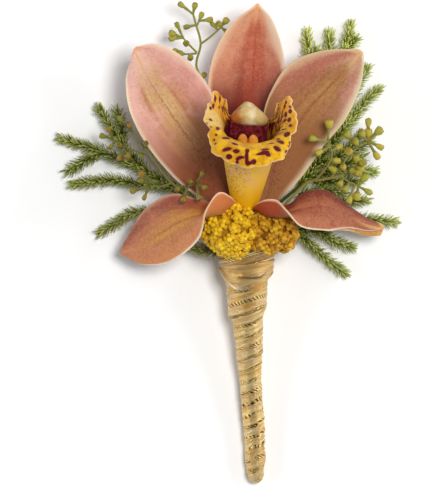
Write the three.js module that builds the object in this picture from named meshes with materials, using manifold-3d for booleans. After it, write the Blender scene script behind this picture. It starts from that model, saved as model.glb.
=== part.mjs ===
// An orchid boutonniere lying on its back: one cymbidium bloom with sprigs of needle-leaved fern, budded
// eucalyptus twigs and yarrow, bound into a tapered handle and wrapped in gold ribbon.
// Millimetres. +Z is up from the table, +Y runs from the handle's end to the top of the bloom, and +X is
// to the right as the bloom is looked at. The origin is on the table, under the middle of the outline.
import * as THREE from "three";
import { mergeVertices } from "three/addons/utils/BufferGeometryUtils.js";
import Module from "manifold-3d";

const wasm = await Module();
wasm.setup();
const { Manifold, Mesh: ManifoldMesh } = wasm;

// ---- Driving dimensions ----
const ROOM = 0.25; // air that a piece keeps round it where another is cut back for it
const PETAL_THICKNESS = 1.1;
const MARGIN_THINNING = 0.35; // share of a petal's thickness that is gone at its margins
const LIP_THICKNESS = 0.9;

const HANDLE_TOP_Y = 1;
const HANDLE_END_Y = -62.6;
const RIBBON_THICKNESS = 0.65;
const RIBBON_STEP = 0.3; // how far each turn's edge stands over the turn below it
const RIBBON_PITCH = 3;
const RIBBON_SLOPE = 0.86; // share of the pitch from a turn's upper edge to its lower one
const RIBBON_SIDES = 12;
const SLEEVE_SIDES = 12;
const TAPE_THICKNESS = 0.5;
const WRAP_GAP = 0.1; // between the tape and the ribbon
const TAPE_RISE = 0.6; // how far the tape shows above the ribbon

const BLOOM_BASE = [4.4, 8.9, 13.5]; // where lip, column, petals and sepals meet
const BLOOM_TILT = 40; // degrees that the bloom's axis rises from the table
const BLOOM_LEAN = 4; // degrees that it leans to the right

const COLUMN_LENGTH = 25.6;
const COLUMN_ARCH = [[2, 0.6], [9, 1.6], [17, 2.9], [COLUMN_LENGTH, 4.4]]; // out from the base, and up
const COLUMN_BASE_RADIUS = 1.7;
const COLUMN_TIP_RADIUS = 3.7;
const CAP = { out: 1.2, up: 5, depth: 3.1, halfWidth: 4.3, halfHeight: 3.3, narrowing: 0.4 };

const STALK_RADIUS = 1.1; // the orchid's own stalk, inside the handle
const OVARY_SWELLING = 1.2; // added to the stalk's radius behind the bloom
const STEM_RADIUS = 0.55;
const STEM_CLEARANCE = 0.45; // between a stem and the tape round it
const WIRE_RADIUS = 0.3;

const NEEDLE_LENGTH = 4;
const NEEDLE_THICKNESS = 0.65; // a needle's radius at its root, as a share of the shoot's
const NEEDLE_SPACING = 2.3;
const NEEDLE_LEANS = [48, 16]; // degrees from the shoot, along it and at its tip
const SHOOT_RADIUS = 0.5;
const SHOOT_TAPER = 0.4;
const GOLDEN_ANGLE = Math.PI * (3 - Math.sqrt(5));

const BUD_RADIUS = 1.15;
const BUD_LENGTH = 2.6;
const BUD_STALK_RADIUS = 0.35;
const BUD_SIDES = 4;
const TWIG_RADIUS = 0.42;

const FLORET_RADIUS = 1.9;
const YARROW_DEPTH = 1.35; // how far florets reach down a head: 1 to its middle, 2 all round

const { sin, cos, PI, abs, sqrt, min, max, round } = Math;
const { lerp, clamp, degToRad, smoothstep } = THREE.MathUtils;

const vector = (p) => new THREE.Vector3(...p);
const ACROSS = vector([0.3, 0.2, 1]); // a way that no needle or bud points, to turn its ring by

/** A value eased from one listed place to the next, from [place, value] pairs in order. */
function eased(list, place) {
  const found = list.findIndex(([at]) => at > place);
  const next = found < 0 ? list.length - 1 : max(found, 1);
  const [[a, valueA], [b, valueB]] = [list[next - 1], list[next]];
  return lerp(valueA, valueB, smoothstep(place, a, b));
}

// ---- Solids ----

/** A closed solid from its points and its triangles, whose faces point outwards. */
function solidFromMesh(points, triangles) {
  return new Manifold(
    new ManifoldMesh({
      numProp: 3,
      vertProperties: new Float32Array(points.flatMap((p) => p.toArray())),
      triVerts: new Uint32Array(triangles.flat()),
    }),
  );
}

/** A closed solid from a closed three.js geometry. */
function solidFromGeometry(geometry) {
  const bare = geometry.clone();
  bare.deleteAttribute("normal");
  bare.deleteAttribute("uv");
  const merged = mergeVertices(bare, 1e-4);
  return new Manifold(
    new ManifoldMesh({
      numProp: 3,
      vertProperties: merged.attributes.position.array,
      triVerts: new Uint32Array(merged.index.array),
    }),
  );
}

const joined = (solids) => solids.reduce((whole, piece) => whole.add(piece));

/** The largest of a solid's separate bodies. */
function mainBody(solid) {
  return solid.decompose().reduce((a, b) => (b.volume() > a.volume() ? b : a));
}

/** What is left of a solid once the room of its neighbours is taken from it. */
function clearOf(solid, neighbours) {
  return mainBody(neighbours.reduce((left, room) => left.subtract(room), solid));
}

/** Two faces a thickness apart, split into triangles alike and joined round the rim.
 *  pointAt(u, v) is the middle surface, u from 0 to 1 along it and v from -1 to 1 across it. */
function bladeSolid(pointAt, thicknessAt, rows, columns) {
  const step = 1e-3;
  const upper = [];
  const lower = [];
  for (let i = 0; i <= rows; i++) {
    for (let j = 0; j <= columns; j++) {
      const u = i / rows;
      const v = -1 + (2 * j) / columns;
      const along = pointAt(min(u + step, 1), v).sub(pointAt(max(u - step, 0), v));
      const across = pointAt(u, min(v + step, 1)).sub(pointAt(u, max(v - step, -1)));
      const normal = across.cross(along).normalize();
      const middle = pointAt(u, v);
      const half = thicknessAt(u, v) / 2;
      upper.push(middle.clone().addScaledVector(normal, half));
      lower.push(middle.clone().addScaledVector(normal, -half));
    }
  }
  const count = upper.length;
  const at = (i, j) => i * (columns + 1) + j;
  const triangles = [];
  for (let i = 0; i < rows; i++) {
    for (let j = 0; j < columns; j++) {
      const [a, b, c, d] = [at(i, j), at(i, j + 1), at(i + 1, j + 1), at(i + 1, j)];
      const pair = (i + j) % 2 ? [[a, b, c], [a, c, d]] : [[a, b, d], [b, c, d]];
      for (const [p, q, r] of pair) {
        triangles.push([p, q, r], [p + count, r + count, q + count]);
      }
    }
  }
  const rim = [];
  for (let j = 0; j < columns; j++) rim.push(at(0, j));
  for (let i = 0; i < rows; i++) rim.push(at(i, columns));
  for (let j = columns; j > 0; j--) rim.push(at(rows, j));
  for (let i = rows; i > 0; i--) rim.push(at(i, 0));
  rim.forEach((a, k) => {
    const b = rim[(k + 1) % rim.length];
    triangles.push([a, a + count, b + count], [a, b + count, b]);
  });
  return solidFromMesh([...upper, ...lower], triangles);
}

/** A smooth curve through points. */
const curveThrough = (points) =>
  new THREE.CatmullRomCurve3(points.map(vector), false, "catmullrom", 0.5);

/** A closed solid from rings of points, each ring turning anticlockwise as seen from the next one. */
function ringedSolid(points, sides, steps, start, end) {
  const first = points.push(start) - 1;
  const last = points.push(end) - 1;
  const triangles = [];
  for (let j = 0; j < sides; j++) {
    const k = (j + 1) % sides;
    for (let i = 0; i < steps; i++) {
      const [a, b] = [i * sides + j, i * sides + k];
      triangles.push([a, b, b + sides], [a, b + sides, a + sides]);
    }
    triangles.push([first, k, j], [last, steps * sides + j, steps * sides + k]);
  }
  return solidFromMesh(points, triangles);
}

/** A round tube along a curve, closed at both ends; radiusAt(t) is its radius at t from 0 to 1. */
function tubeSolid(curve, radiusAt, sides, steps) {
  const frames = curve.computeFrenetFrames(steps, false);
  const points = [];
  for (let i = 0; i <= steps; i++) {
    const t = i / steps;
    const middle = curve.getPointAt(t);
    for (let j = 0; j < sides; j++) {
      const a = (2 * PI * j) / sides;
      points.push(
        middle
          .clone()
          .addScaledVector(frames.normals[i], radiusAt(t) * cos(a))
          .addScaledVector(frames.binormals[i], radiusAt(t) * sin(a)),
      );
    }
  }
  return ringedSolid(points, sides, steps, curve.getPointAt(0), curve.getPointAt(1));
}

const rodSolid = (points, radius, sides, steps) =>
  tubeSolid(curveThrough(points), () => radius, sides, steps);

// ---- Sepals and petals ----
// Each is a blade held by three curves from base to tip: one margin, the midrib and the other margin.
// Going from the first margin to the second, with the tip ahead, its inner face is towards the viewer.
const BLADES = {
  dorsal_sepal: {
    first: [
      [3, 10.3, 12.5], [-1.4, 24.1, 13], [-4.9, 36.3, 13.5], [-4, 46.9, 14.5], [0.9, 56.6, 18],
      [7.4, 61.6, 20.5],
    ],
    midrib: [
      [4.5, 10.3, 11], [5.6, 22.8, 9.5], [6.4, 35, 9], [6.9, 46.9, 10.5], [7.4, 56.3, 15.5],
      [7.8, 61.9, 20.5],
    ],
    second: [
      [6.4, 10.3, 12.5], [11.6, 24.1, 13.5], [15.2, 37.6, 14.5], [14.8, 48, 15], [11.6, 57.3, 18],
      [8.2, 61.6, 20.5],
    ],
  },
  petal_left: {
    first: [
      [-2.2, 9.2, 13], [-11.6, 14.7, 14], [-20.2, 24.1, 15.5], [-25.1, 33.1, 16.5], [-26.4, 41.2, 17],
      [-25.7, 45.9, 18], [-24.4, 49.9, 20],
    ],
    midrib: [
      [-0.5, 9.5, 12.5], [-4.9, 19.4, 13.2], [-10.1, 27.2, 14], [-15, 33.9, 15], [-19.4, 40.7, 16.5],
      [-22.2, 45.9, 18.5], [-24.2, 50.2, 20],
    ],
    second: [
      [1.2, 9.8, 12.6], [0.6, 21.8, 13.8], [-2.2, 32.4, 15.6], [-5.1, 41, 17], [-11.6, 48.2, 18.5],
      [-18.3, 51.4, 20], [-23.5, 50.8, 20.3],
    ],
  },
  petal_right: {
    first: [
      [8.2, 9.8, 13], [7.9, 21.4, 14.5], [9, 31.9, 16], [11.3, 39.1, 17], [16.2, 46.4, 17.5],
      [24.6, 49.8, 19], [33.7, 50.1, 21],
    ],
    midrib: [
      [9.5, 9.5, 12.5], [11.8, 18.3, 13.5], [15.7, 26.7, 14], [20.9, 34.5, 15], [26.7, 40.7, 16.5],
      [31.3, 45.6, 18.5], [34.8, 49.5, 21],
    ],
    second: [
      [11.1, 9, 13], [18.6, 16.2, 14], [25.1, 25.1, 15.5], [30.3, 31.3, 17], [33.9, 39.1, 18],
      [35.2, 44.9, 19.5], [35.1, 48.8, 21],
    ],
  },
  lateral_sepal_left: {
    first: [
      [3.4, 8.6, 16.5], [0.9, 11.8, 23], [-2.3, 12.8, 26.5], [-5.2, 8.2, 26], [-7.4, 0.9, 22],
      [-14.4, -4.8, 16], [-21.4, -5.9, 11.5], [-26.9, -3.5, 8],
    ],
    midrib: [
      [2.2, 9, 14.5], [0.4, 8.8, 18], [-2.4, 7.8, 21], [-6.9, 6.9, 21.5], [-12.9, 4.8, 18],
      [-18.9, 1.2, 14], [-23.8, -1.7, 10.5], [-28.1, -2.6, 8],
    ],
    second: [
      [1.2, 9.8, 13], [-0.4, 10.2, 14.4], [-3, 10.5, 15.8], [-7.9, 11.2, 17], [-14.4, 12.6, 15],
      [-21.4, 8.7, 12], [-25.6, 2.7, 9.5], [-27.7, -1.7, 8],
    ],
  },
  lateral_sepal_right: {
    first: [
      [7.9, 9.8, 13], [9.4, 9.9, 14.2], [11.1, 10, 15.5], [13.5, 10.1, 16.6], [16, 10.3, 17.5],
      [19.9, 13.1, 17.5], [25.4, 13.5, 16], [31.3, 9.5, 13.5], [36, 6.4, 11.5], [40.4, 4.8, 10.5],
    ],
    midrib: [
      [7.2, 9, 14.5], [8.6, 8.2, 17.5], [10.3, 7.4, 20.5], [12.6, 7.2, 22.4], [15, 7.2, 23],
      [19.9, 8.7, 21.5], [26.1, 9, 18.5], [31.9, 6.4, 15], [36.5, 4.3, 13], [40.7, 3.8, 10.5],
    ],
    second: [
      [6.4, 8.2, 16], [7.4, 9.9, 21], [9.6, 10.9, 26], [12.6, 10.7, 28.6], [15.2, 8.3, 28.5],
      [19.1, 4.2, 25], [25.1, 3.1, 20], [31.1, 3.1, 15], [35.5, 2, 10.5], [39.9, 1.8, 9],
    ],
  },
};
const BLADE_ROWS = 13;
const BLADE_COLUMNS = 6;
const BLADE_HALF_WIDTH = 8; // of a typical one

/** A point on a curve, which runs on straight past its two ends. */
function pointPast(curve, u) {
  const within = clamp(u, 0, 1);
  const past = (u - within) * curve.getLength();
  return curve.getPoint(within).addScaledVector(curve.getTangent(within), past);
}

/** The blade's middle surface: each crosswise line is the parabola through its three curves. */
function bladeSurface({ first, midrib, second }) {
  const [a, m, b] = [first, midrib, second].map(curveThrough);
  return (u, v) =>
    pointPast(m, u)
      .multiplyScalar(1 - v * v)
      .addScaledVector(pointPast(a, u), (v * v - v) / 2)
      .addScaledVector(pointPast(b, u), (v * v + v) / 2);
}

/** A sepal or petal, thinner towards its margins; grow makes it that much larger all round. */
function perianthSolid(blade, grow = 0) {
  const surface = bladeSurface(blade);
  const spread = grow / BLADE_HALF_WIDTH;
  return bladeSolid(
    (u, v) => surface(u + spread * (u - 0.5), v * (1 + spread)),
    (u, v) => PETAL_THICKNESS * (1 - MARGIN_THINNING * v * v) + 2 * grow,
    BLADE_ROWS,
    BLADE_COLUMNS,
  );
}

// ---- Lip and column, in the bloom's own frame ----
const tilt = degToRad(BLOOM_TILT);
const lean = degToRad(BLOOM_LEAN);
const BLOOM_AXIS = vector([cos(tilt) * sin(lean), cos(tilt) * cos(lean), sin(tilt)]);
const BLOOM_SIDE = vector([cos(lean), -sin(lean), 0]);
const BLOOM_UP = BLOOM_AXIS.clone().cross(BLOOM_SIDE); // from the lip towards the dorsal sepal

/** A point by its distances from the bloom's base: out along its axis, to its right, and up. */
const inBloom = (out, side, up) =>
  vector(BLOOM_BASE)
    .addScaledVector(BLOOM_AXIS, out)
    .addScaledVector(BLOOM_SIDE, side)
    .addScaledVector(BLOOM_UP, up);

const LIP_TUBE_LENGTH = 25;
const LIP_BASE_RADIUS = 2.5;
const LIP_MOUTH_RADIUS = 7.2;
const LIP_FLARE = 0.8; // power of the tube's widening
const LIP_HALF_ANGLES = [75, 126]; // degrees round the tube from its middle to a margin: base and mouth
const LIP_TUBE_SHARE = 0.55; // of the rows, before the lobes turn outwards
const LIP_RUFFLE = { height: 0.5, turn: 21 };
const LIP_ROWS = 13;
const LIP_COLUMNS = 16;
// Across the lip from its middle, 0, to its margin, 1: how long the lobes are past the tube, and by how
// many radians they turn outwards there. The middle lobe curls right back, and a notch parts it from the
// side lobes, which stand up beside the column.
const LIP_LOBE_LENGTHS = [
  [0, 12.5], [0.25, 11.6], [0.42, 8.6], [0.5, 8], [0.62, 9.6], [0.84, 11.4], [1, 7],
];
const LIP_TURNS_LEFT = [[0, 2.8], [0.3, 2.5], [0.5, 1.5], [0.7, 0.8], [1, 0.3]];
const LIP_TURNS_RIGHT = [[0, 2.8], [0.3, 2.5], [0.5, 1.7], [0.7, 0.9], [1, 0.35]];

const lipTubeRadius = (share) => lerp(LIP_BASE_RADIUS, LIP_MOUTH_RADIUS, share ** LIP_FLARE);

/** The lip: a trough along the bloom's axis that opens upwards, and then turns out into three lobes.
 *  v is 0 along its middle and 1 at the right margin. */
function lipPoint(u, v) {
  const side = abs(v);
  const tube = min(u / LIP_TUBE_SHARE, 1);
  const lobe = max(u - LIP_TUBE_SHARE, 0) / (1 - LIP_TUBE_SHARE);
  const angle = v * degToRad(lerp(...LIP_HALF_ANGLES, smoothstep(tube, 0, 1)));
  const length = eased(LIP_LOBE_LENGTHS, side);
  const turn = eased(v > 0 ? LIP_TURNS_RIGHT : LIP_TURNS_LEFT, side);
  const wave = LIP_RUFFLE.height * sin(side * LIP_RUFFLE.turn + 1);
  const ruffle = lobe ** 2 * smoothstep(side, 0.4, 0.6) * wave;
  const out = LIP_TUBE_LENGTH * tube + (length / turn) * sin(turn * lobe);
  const radius = lipTubeRadius(tube) + (length / turn) * (1 - cos(turn * lobe)) + ruffle;
  return inBloom(out, radius * sin(angle), -radius * cos(angle));
}

const lipSolid = (grow = 0) =>
  bladeSolid(
    (u, v) => lipPoint(u, v),
    (u, v) => LIP_THICKNESS * (1 - 0.2 * v * v) + 2 * grow,
    LIP_ROWS,
    LIP_COLUMNS,
  );

const CALLUS = {
  radius: 1.3,
  spacing: 2.47, // between the two ridges' middles
  lift: 0.7, // off the lip's floor
  shares: [0.6, 0.75, 0.88, 0.97], // places along the tube
  rise: 0.35, // from one place to the next
};

/** The two fleshy ridges on the lip's floor, side by side and ending in the mouth. */
function callusSolid() {
  const fullness = (t) => CALLUS.radius * sqrt(sin(PI * (0.08 + 0.8 * t)));
  const ridges = [-0.5, 0.5].map((side) => {
    const points = CALLUS.shares.map((share, k) => {
      const up = CALLUS.radius + CALLUS.lift + CALLUS.rise * k - lipTubeRadius(share);
      return inBloom(LIP_TUBE_LENGTH * share, side * CALLUS.spacing, up).toArray();
    });
    return tubeSolid(curveThrough(points), fullness, 7, 4);
  });
  return joined(ridges);
}

/** The column: a stout rod that arches over the lip and widens to its end. */
function columnSolid(grow = 0) {
  const points = COLUMN_ARCH.map(([out, up]) => inBloom(out, 0, up).toArray());
  const radius = (t) => lerp(COLUMN_BASE_RADIUS, COLUMN_TIP_RADIUS, smoothstep(t, 0, 0.9)) + grow;
  return tubeSolid(curveThrough(points), radius, 10, 7);
}

/** The anther cap over the column's end: a helmet, narrower at the top. */
function antherCapSolid() {
  const helmet = new THREE.SphereGeometry(1, 10, 8);
  const place = helmet.attributes.position;
  for (let i = 0; i < place.count; i++) {
    const narrow = 1 - CAP.narrowing * place.getY(i);
    const p = inBloom(
      COLUMN_LENGTH + CAP.out + CAP.depth * place.getZ(i),
      CAP.halfWidth * narrow * place.getX(i),
      CAP.up + CAP.halfHeight * place.getY(i),
    );
    place.setXYZ(i, ...p.toArray());
  }
  return solidFromGeometry(helmet);
}

// ---- Handle ----
const HANDLE_AXIS = curveThrough([
  [5, HANDLE_TOP_Y, 9], [5.3, -18, 7.2], [6.2, -38, 4.3], [7, -50, 2.75], [7.5, HANDLE_END_Y, 2.3],
]);
const HANDLE_LENGTH = HANDLE_AXIS.getLength();
// The wrapped handle's outer radius against the length from its top.
const HANDLE_RADII = [
  [0, 6.6], [5, 6.9], [9, 6], [12, 5.2], [18, 5], [22, 3.8], [28, 3.4],
  [38, 2.75], [50, 2.6], [58, 2.5], [62, 2], [64, 1.2],
];
const RING_SLOTS = 10; // stems stand in a ring inside the tape
const SLANT = vector([-0.36, 1, 0]).normalize(); // the wrapping's top edge is higher on the right
const SLANT_MIDDLE = [5, -3, 9];

const handleRadius = (length) => eased(HANDLE_RADII, length);

/** A point round the handle: angle 0 is to the right and a quarter turn is up. */
function onHandle(length, angle, radius) {
  const t = clamp(length / HANDLE_LENGTH, 0, 1);
  const along = HANDLE_AXIS.getTangentAt(t);
  const up = vector([0, 0, 1]).addScaledVector(along, -along.z).normalize();
  const right = up.clone().cross(along);
  return HANDLE_AXIS.getPointAt(t)
    .addScaledVector(along, length - t * HANDLE_LENGTH)
    .addScaledVector(right, radius * cos(angle))
    .addScaledVector(up, radius * sin(angle));
}

/** A round solid along the handle between two lengths, with rings where its radius changes. */
function sleeveSolid(radiusAt, from, to) {
  const listed = HANDLE_RADII.map(([length]) => length);
  const lengths = [from, ...listed.filter((length) => length > from && length < to), to];
  const points = lengths.flatMap((length) =>
    Array.from({ length: SLEEVE_SIDES }, (_, j) =>
      onHandle(length, (2 * PI * j) / SLEEVE_SIDES, radiusAt(length)),
    ),
  );
  const ends = [onHandle(from, 0, 0), onHandle(to, 0, 0)];
  return ringedSolid(points, SLEEVE_SIDES, lengths.length - 1, ...ends);
}

/** The outside of a band wound round the handle, each turn's lower edge standing over the next turn.
 *  Two strands of points run down the same helix, one under each edge and one on it. */
function woundSolid() {
  const turns = round(HANDLE_LENGTH / RIBBON_PITCH) + 3;
  const last = turns * RIBBON_SIDES;
  const strand = (share, lift) => {
    const points = [];
    for (let s = 0; s <= last; s++) {
      const length = RIBBON_PITCH * (s / RIBBON_SIDES + share - 2);
      points.push(onHandle(length, (2 * PI * s) / RIBBON_SIDES, handleRadius(length) + lift));
    }
    return points;
  };
  const points = [...strand(0, 0), ...strand(RIBBON_SLOPE, RIBBON_STEP)];
  const edge = last + 1; // where the second strand starts
  const triangles = [];
  for (let s = 0; s < last; s++) {
    triangles.push([s, s + 1, edge + s + 1], [s, edge + s + 1, edge + s]);
    if (s < last - RIBBON_SIDES) {
      const next = s + RIBBON_SIDES;
      triangles.push([edge + s, edge + s + 1, next + 1], [edge + s, next + 1, next]);
    }
  }
  const fan = (rim, tip) => {
    const middle = points.push(tip) - 1;
    rim.forEach((a, k) => triangles.push([middle, rim[(k + 1) % rim.length], a]));
  };
  const range = (from, to) => Array.from({ length: to - from + 1 }, (_, k) => from + k);
  fan([...range(0, RIBBON_SIDES), edge], onHandle(-2.5 * RIBBON_PITCH, 0, 0));
  const foot = range(edge + last - RIBBON_SIDES, edge + last);
  fan([...foot, last].reverse(), onHandle(RIBBON_PITCH * (turns - 0.5), 0, 0));
  return solidFromMesh(points, triangles);
}

/** A block that takes away what is above the wrapping's slanted top edge. */
function slantedCutter(rise) {
  const size = 40;
  const block = new THREE.BoxGeometry(size, size, size);
  block.rotateZ(Math.atan2(-SLANT.x, SLANT.y));
  const middle = vector(SLANT_MIDDLE).addScaledVector(SLANT, size / 2);
  block.translate(middle.x, middle.y + rise, middle.z);
  return solidFromGeometry(block);
}

/** A block below the table. */
function tableCutter() {
  const size = 200;
  const block = new THREE.BoxGeometry(size, size, size);
  block.translate(0, 0, -size / 2);
  return solidFromGeometry(block);
}

const insideRibbon = (length) => handleRadius(length) - RIBBON_THICKNESS;
const outsideTape = (length) => insideRibbon(length) - WRAP_GAP;
const insideTape = (length) => outsideTape(length) - TAPE_THICKNESS;

function goldRibbonSolid() {
  const outline = sleeveSolid((length) => handleRadius(length) + 2 * RIBBON_STEP, -1, HANDLE_LENGTH);
  const bore = sleeveSolid(insideRibbon, -2, HANDLE_LENGTH - 4);
  return clearOf(woundSolid().intersect(outline), [bore, slantedCutter(0), tableCutter()]);
}

function floralTapeSolid() {
  const outside = sleeveSolid(outsideTape, -1, HANDLE_LENGTH - 6);
  const bore = sleeveSolid(insideTape, -2, HANDLE_LENGTH - 5);
  return clearOf(outside, [bore, slantedCutter(TAPE_RISE)]);
}

/** The points of a stem inside the handle, from its cut end up to the handle's top. */
function slotPath(slot, cutLength) {
  const angle = (2 * PI * slot) / RING_SLOTS;
  return [cutLength, cutLength * 0.6, cutLength * 0.25, 0].map((length) =>
    onHandle(length, angle, insideTape(length) - STEM_RADIUS - STEM_CLEARANCE).toArray(),
  );
}

/** A florist's wire: a hairpin hooked behind the orchid's stalk, with a leg down each side of it. */
function floristWireSolid() {
  const offset = (length) =>
    min(STALK_RADIUS + WIRE_RADIUS + 0.3, insideTape(length) - WIRE_RADIUS - 0.15);
  const leg = (side) =>
    [60, 48, 36, 24, 12, 3].map((length) => onHandle(length, side, offset(length)));
  const left = leg(PI);
  const right = leg(0).reverse();
  const hook = onHandle(-0.5, -PI / 2, offset(0) + 0.2);
  const points = [...left, hook, ...right].map((p) => p.toArray());
  return rodSolid(points, WIRE_RADIUS, 4, 26);
}

/** The orchid's stalk, from its cut end in the handle up to the ovary behind the bloom. */
function orchidStemSolid() {
  const points = [48, 36, 24, 12, 2].map((length) => onHandle(length, 0, 0).toArray());
  const top = inBloom(1.5, 0, 0).toArray();
  return tubeSolid(
    curveThrough([...points, [4.8, 4.6, 10.6], top]),
    (t) => lerp(0.6, STALK_RADIUS, smoothstep(t, 0, 0.6)) + OVARY_SWELLING * smoothstep(t, 0.86, 1),
    7,
    14,
  );
}

// ---- Fern ----
// Each spray has one stem, and sprigs that start on it; all of them carry needles out to their tips.
const FERNS = {
  fern_left: {
    slot: 6,
    cut: 17,
    bare: 0.36,
    stem: [[-5, 7, 7], [-12.9, 13.6, 5], [-22.2, 18.9, 3.6], [-32.9, 23.8, 2.5], [-44.4, 27.4, 2]],
    sprigs: [
      [[-32.6, 23.7, 2.5], [-37.5, 21.4, 2.4], [-42.3, 18.3, 2]],
      [[-20.2, 18, 3.9], [-25, 22.6, 4.2], [-29, 27.7, 4.2], [-30.8, 30.6, 3], [-34.1, 35.8, 2.4]],
      [[-27.2, 25.4, 4.2], [-27.9, 30.8, 3.6], [-29, 35, 3]],
      [[-13.4, 13.9, 4.9], [-23.5, 15.4, 3.8], [-30.3, 16.4, 2.8], [-35.5, 16, 2.4], [-41.1, 15.2, 2]],
    ],
  },
  fern_left_low: {
    slot: 5,
    cut: 13,
    bare: 0.42,
    stem: [[-5, 2.5, 7.5], [-14, 6.8, 5.5], [-23.5, 8, 3.8], [-28.4, 5.6, 2.4], [-34, 2.2, 2]],
    sprigs: [[[-0.4, 0.6, 9], [-3.2, -2.2, 7.5], [-9.4, -1.4, 5.4]]],
  },
  fern_right_top: {
    slot: 7,
    cut: 18,
    bare: 0.62,
    stem: [[6, 12, 4], [13, 26, 3.6], [18, 38, 3.4], [21, 47, 2.8], [20.9, 55.6, 2]],
    sprigs: [
      [[20.3, 45, 3.4], [22, 48.4, 3.4], [23.7, 51.4, 3]],
      [[17, 35.6, 3.4], [24, 43, 3.6], [26.6, 49, 2.6], [26.8, 55.6, 2]],
      [[14.6, 30, 3.6], [24, 39, 3.8], [30.3, 49.6, 2.8], [32.6, 58, 2]],
      [[30, 49, 2.8], [32, 51.4, 2.8], [34.2, 54.2, 3]],
    ],
  },
  fern_right: {
    slot: 8,
    cut: 15,
    bare: 0.5,
    stem: [
      [11, 8, 5], [19.4, 15.5, 4], [24.6, 22.6, 3.6], [31.9, 31.3, 3.4], [36.3, 37, 2.4],
      [40.1, 40.6, 2],
    ],
    sprigs: [
      [[29.6, 28.6, 3.6], [31.6, 36, 3.4], [34.6, 42.4, 2.4], [37, 46.3, 2]],
      [[22.6, 20, 3.8], [28.6, 22.4, 4.4], [34, 24.4, 4.2], [38, 27.6, 3.2]],
      [[20.4, 16.8, 4], [27.6, 18.4, 4.6], [33, 18.8, 4.2], [39, 18.7, 3]],
    ],
  },
  fern_right_low: {
    slot: 9,
    cut: 12,
    bare: 0.4,
    stem: [[12, 4, 6.4], [18.9, 1.8, 4.6], [23, -1.6, 3.6], [27.2, -5.2, 2.4], [31.2, -8.4, 2]],
    sprigs: [
      [[14.5, 3.6, 5.8], [22.6, 3.4, 4.6], [28.4, 0.3, 2.6], [33.3, -1.4, 2]],
      [[14.5, 3.7, 5.8], [24, 7, 4.4], [34, 6.4, 2.5], [44.4, 5.3, 2]],
      [[21, 6, 4.8], [28, 10.2, 4], [32.9, 10.8, 3.6], [37, 11.2, 3]],
    ],
  },
};

/** A slim three-sided needle, from a root inside the shoot to its tip. */
function needleSolid(root, tip, radius) {
  const along = tip.clone().sub(root).normalize();
  const side = along.clone().cross(ACROSS).normalize();
  const up = along.clone().cross(side);
  const ring = [0, 1, 2].map((k) =>
    root
      .clone()
      .addScaledVector(side, radius * cos((2 * PI * k) / 3))
      .addScaledVector(up, radius * sin((2 * PI * k) / 3)),
  );
  return solidFromMesh([...ring, tip], [[0, 1, 3], [1, 2, 3], [2, 0, 3], [0, 2, 1]]);
}

/** A needled shoot: a slim core and, turning round it by the golden angle, needles that lean forward.
 *  Needles start after a bare share of it, grow shorter to its tip, and none passes below the table. */
function shootSolids(points, coreRadius, bare) {
  const curve = curveThrough(points);
  const length = curve.getLength();
  const steps = max(3, round(length / 5));
  const coreAt = (t) => coreRadius * (1 - SHOOT_TAPER * t);
  const solids = [tubeSolid(curve, coreAt, 4, steps)];
  const frames = curve.computeFrenetFrames(100, false);
  const furthest = 1 - (0.5 * NEEDLE_LENGTH) / length;
  const count = round(((furthest - bare) * length) / NEEDLE_SPACING);
  for (let k = 0; k <= count; k++) {
    const t = lerp(bare, furthest, k / count);
    const at = min(round(t * 100), 100);
    const turn = k * GOLDEN_ANGLE;
    const outwards = frames.normals[at]
      .clone()
      .multiplyScalar(cos(turn))
      .addScaledVector(frames.binormals[at], sin(turn));
    const forward = degToRad(lerp(...NEEDLE_LEANS, ((t - bare) / (furthest - bare)) ** 6));
    const reach = NEEDLE_LENGTH * (1 - 0.25 * t ** 4);
    const root = curve.getPointAt(t);
    const tip = root
      .clone()
      .addScaledVector(curve.getTangentAt(t), reach * cos(forward))
      .addScaledVector(outwards, reach * sin(forward));
    tip.z = max(tip.z, 0);
    solids.push(needleSolid(root, tip, NEEDLE_THICKNESS * coreAt(t)));
  }
  return solids;
}

function fernSolid({ slot, cut, bare, stem, sprigs }) {
  const whole = [...slotPath(slot, cut), ...stem];
  const shoots = [shootSolids(whole, STEM_RADIUS, bare)];
  for (const sprig of sprigs) shoots.push(shootSolids(sprig, SHOOT_RADIUS, 0.08));
  return joined(shoots.flat());
}

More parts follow.
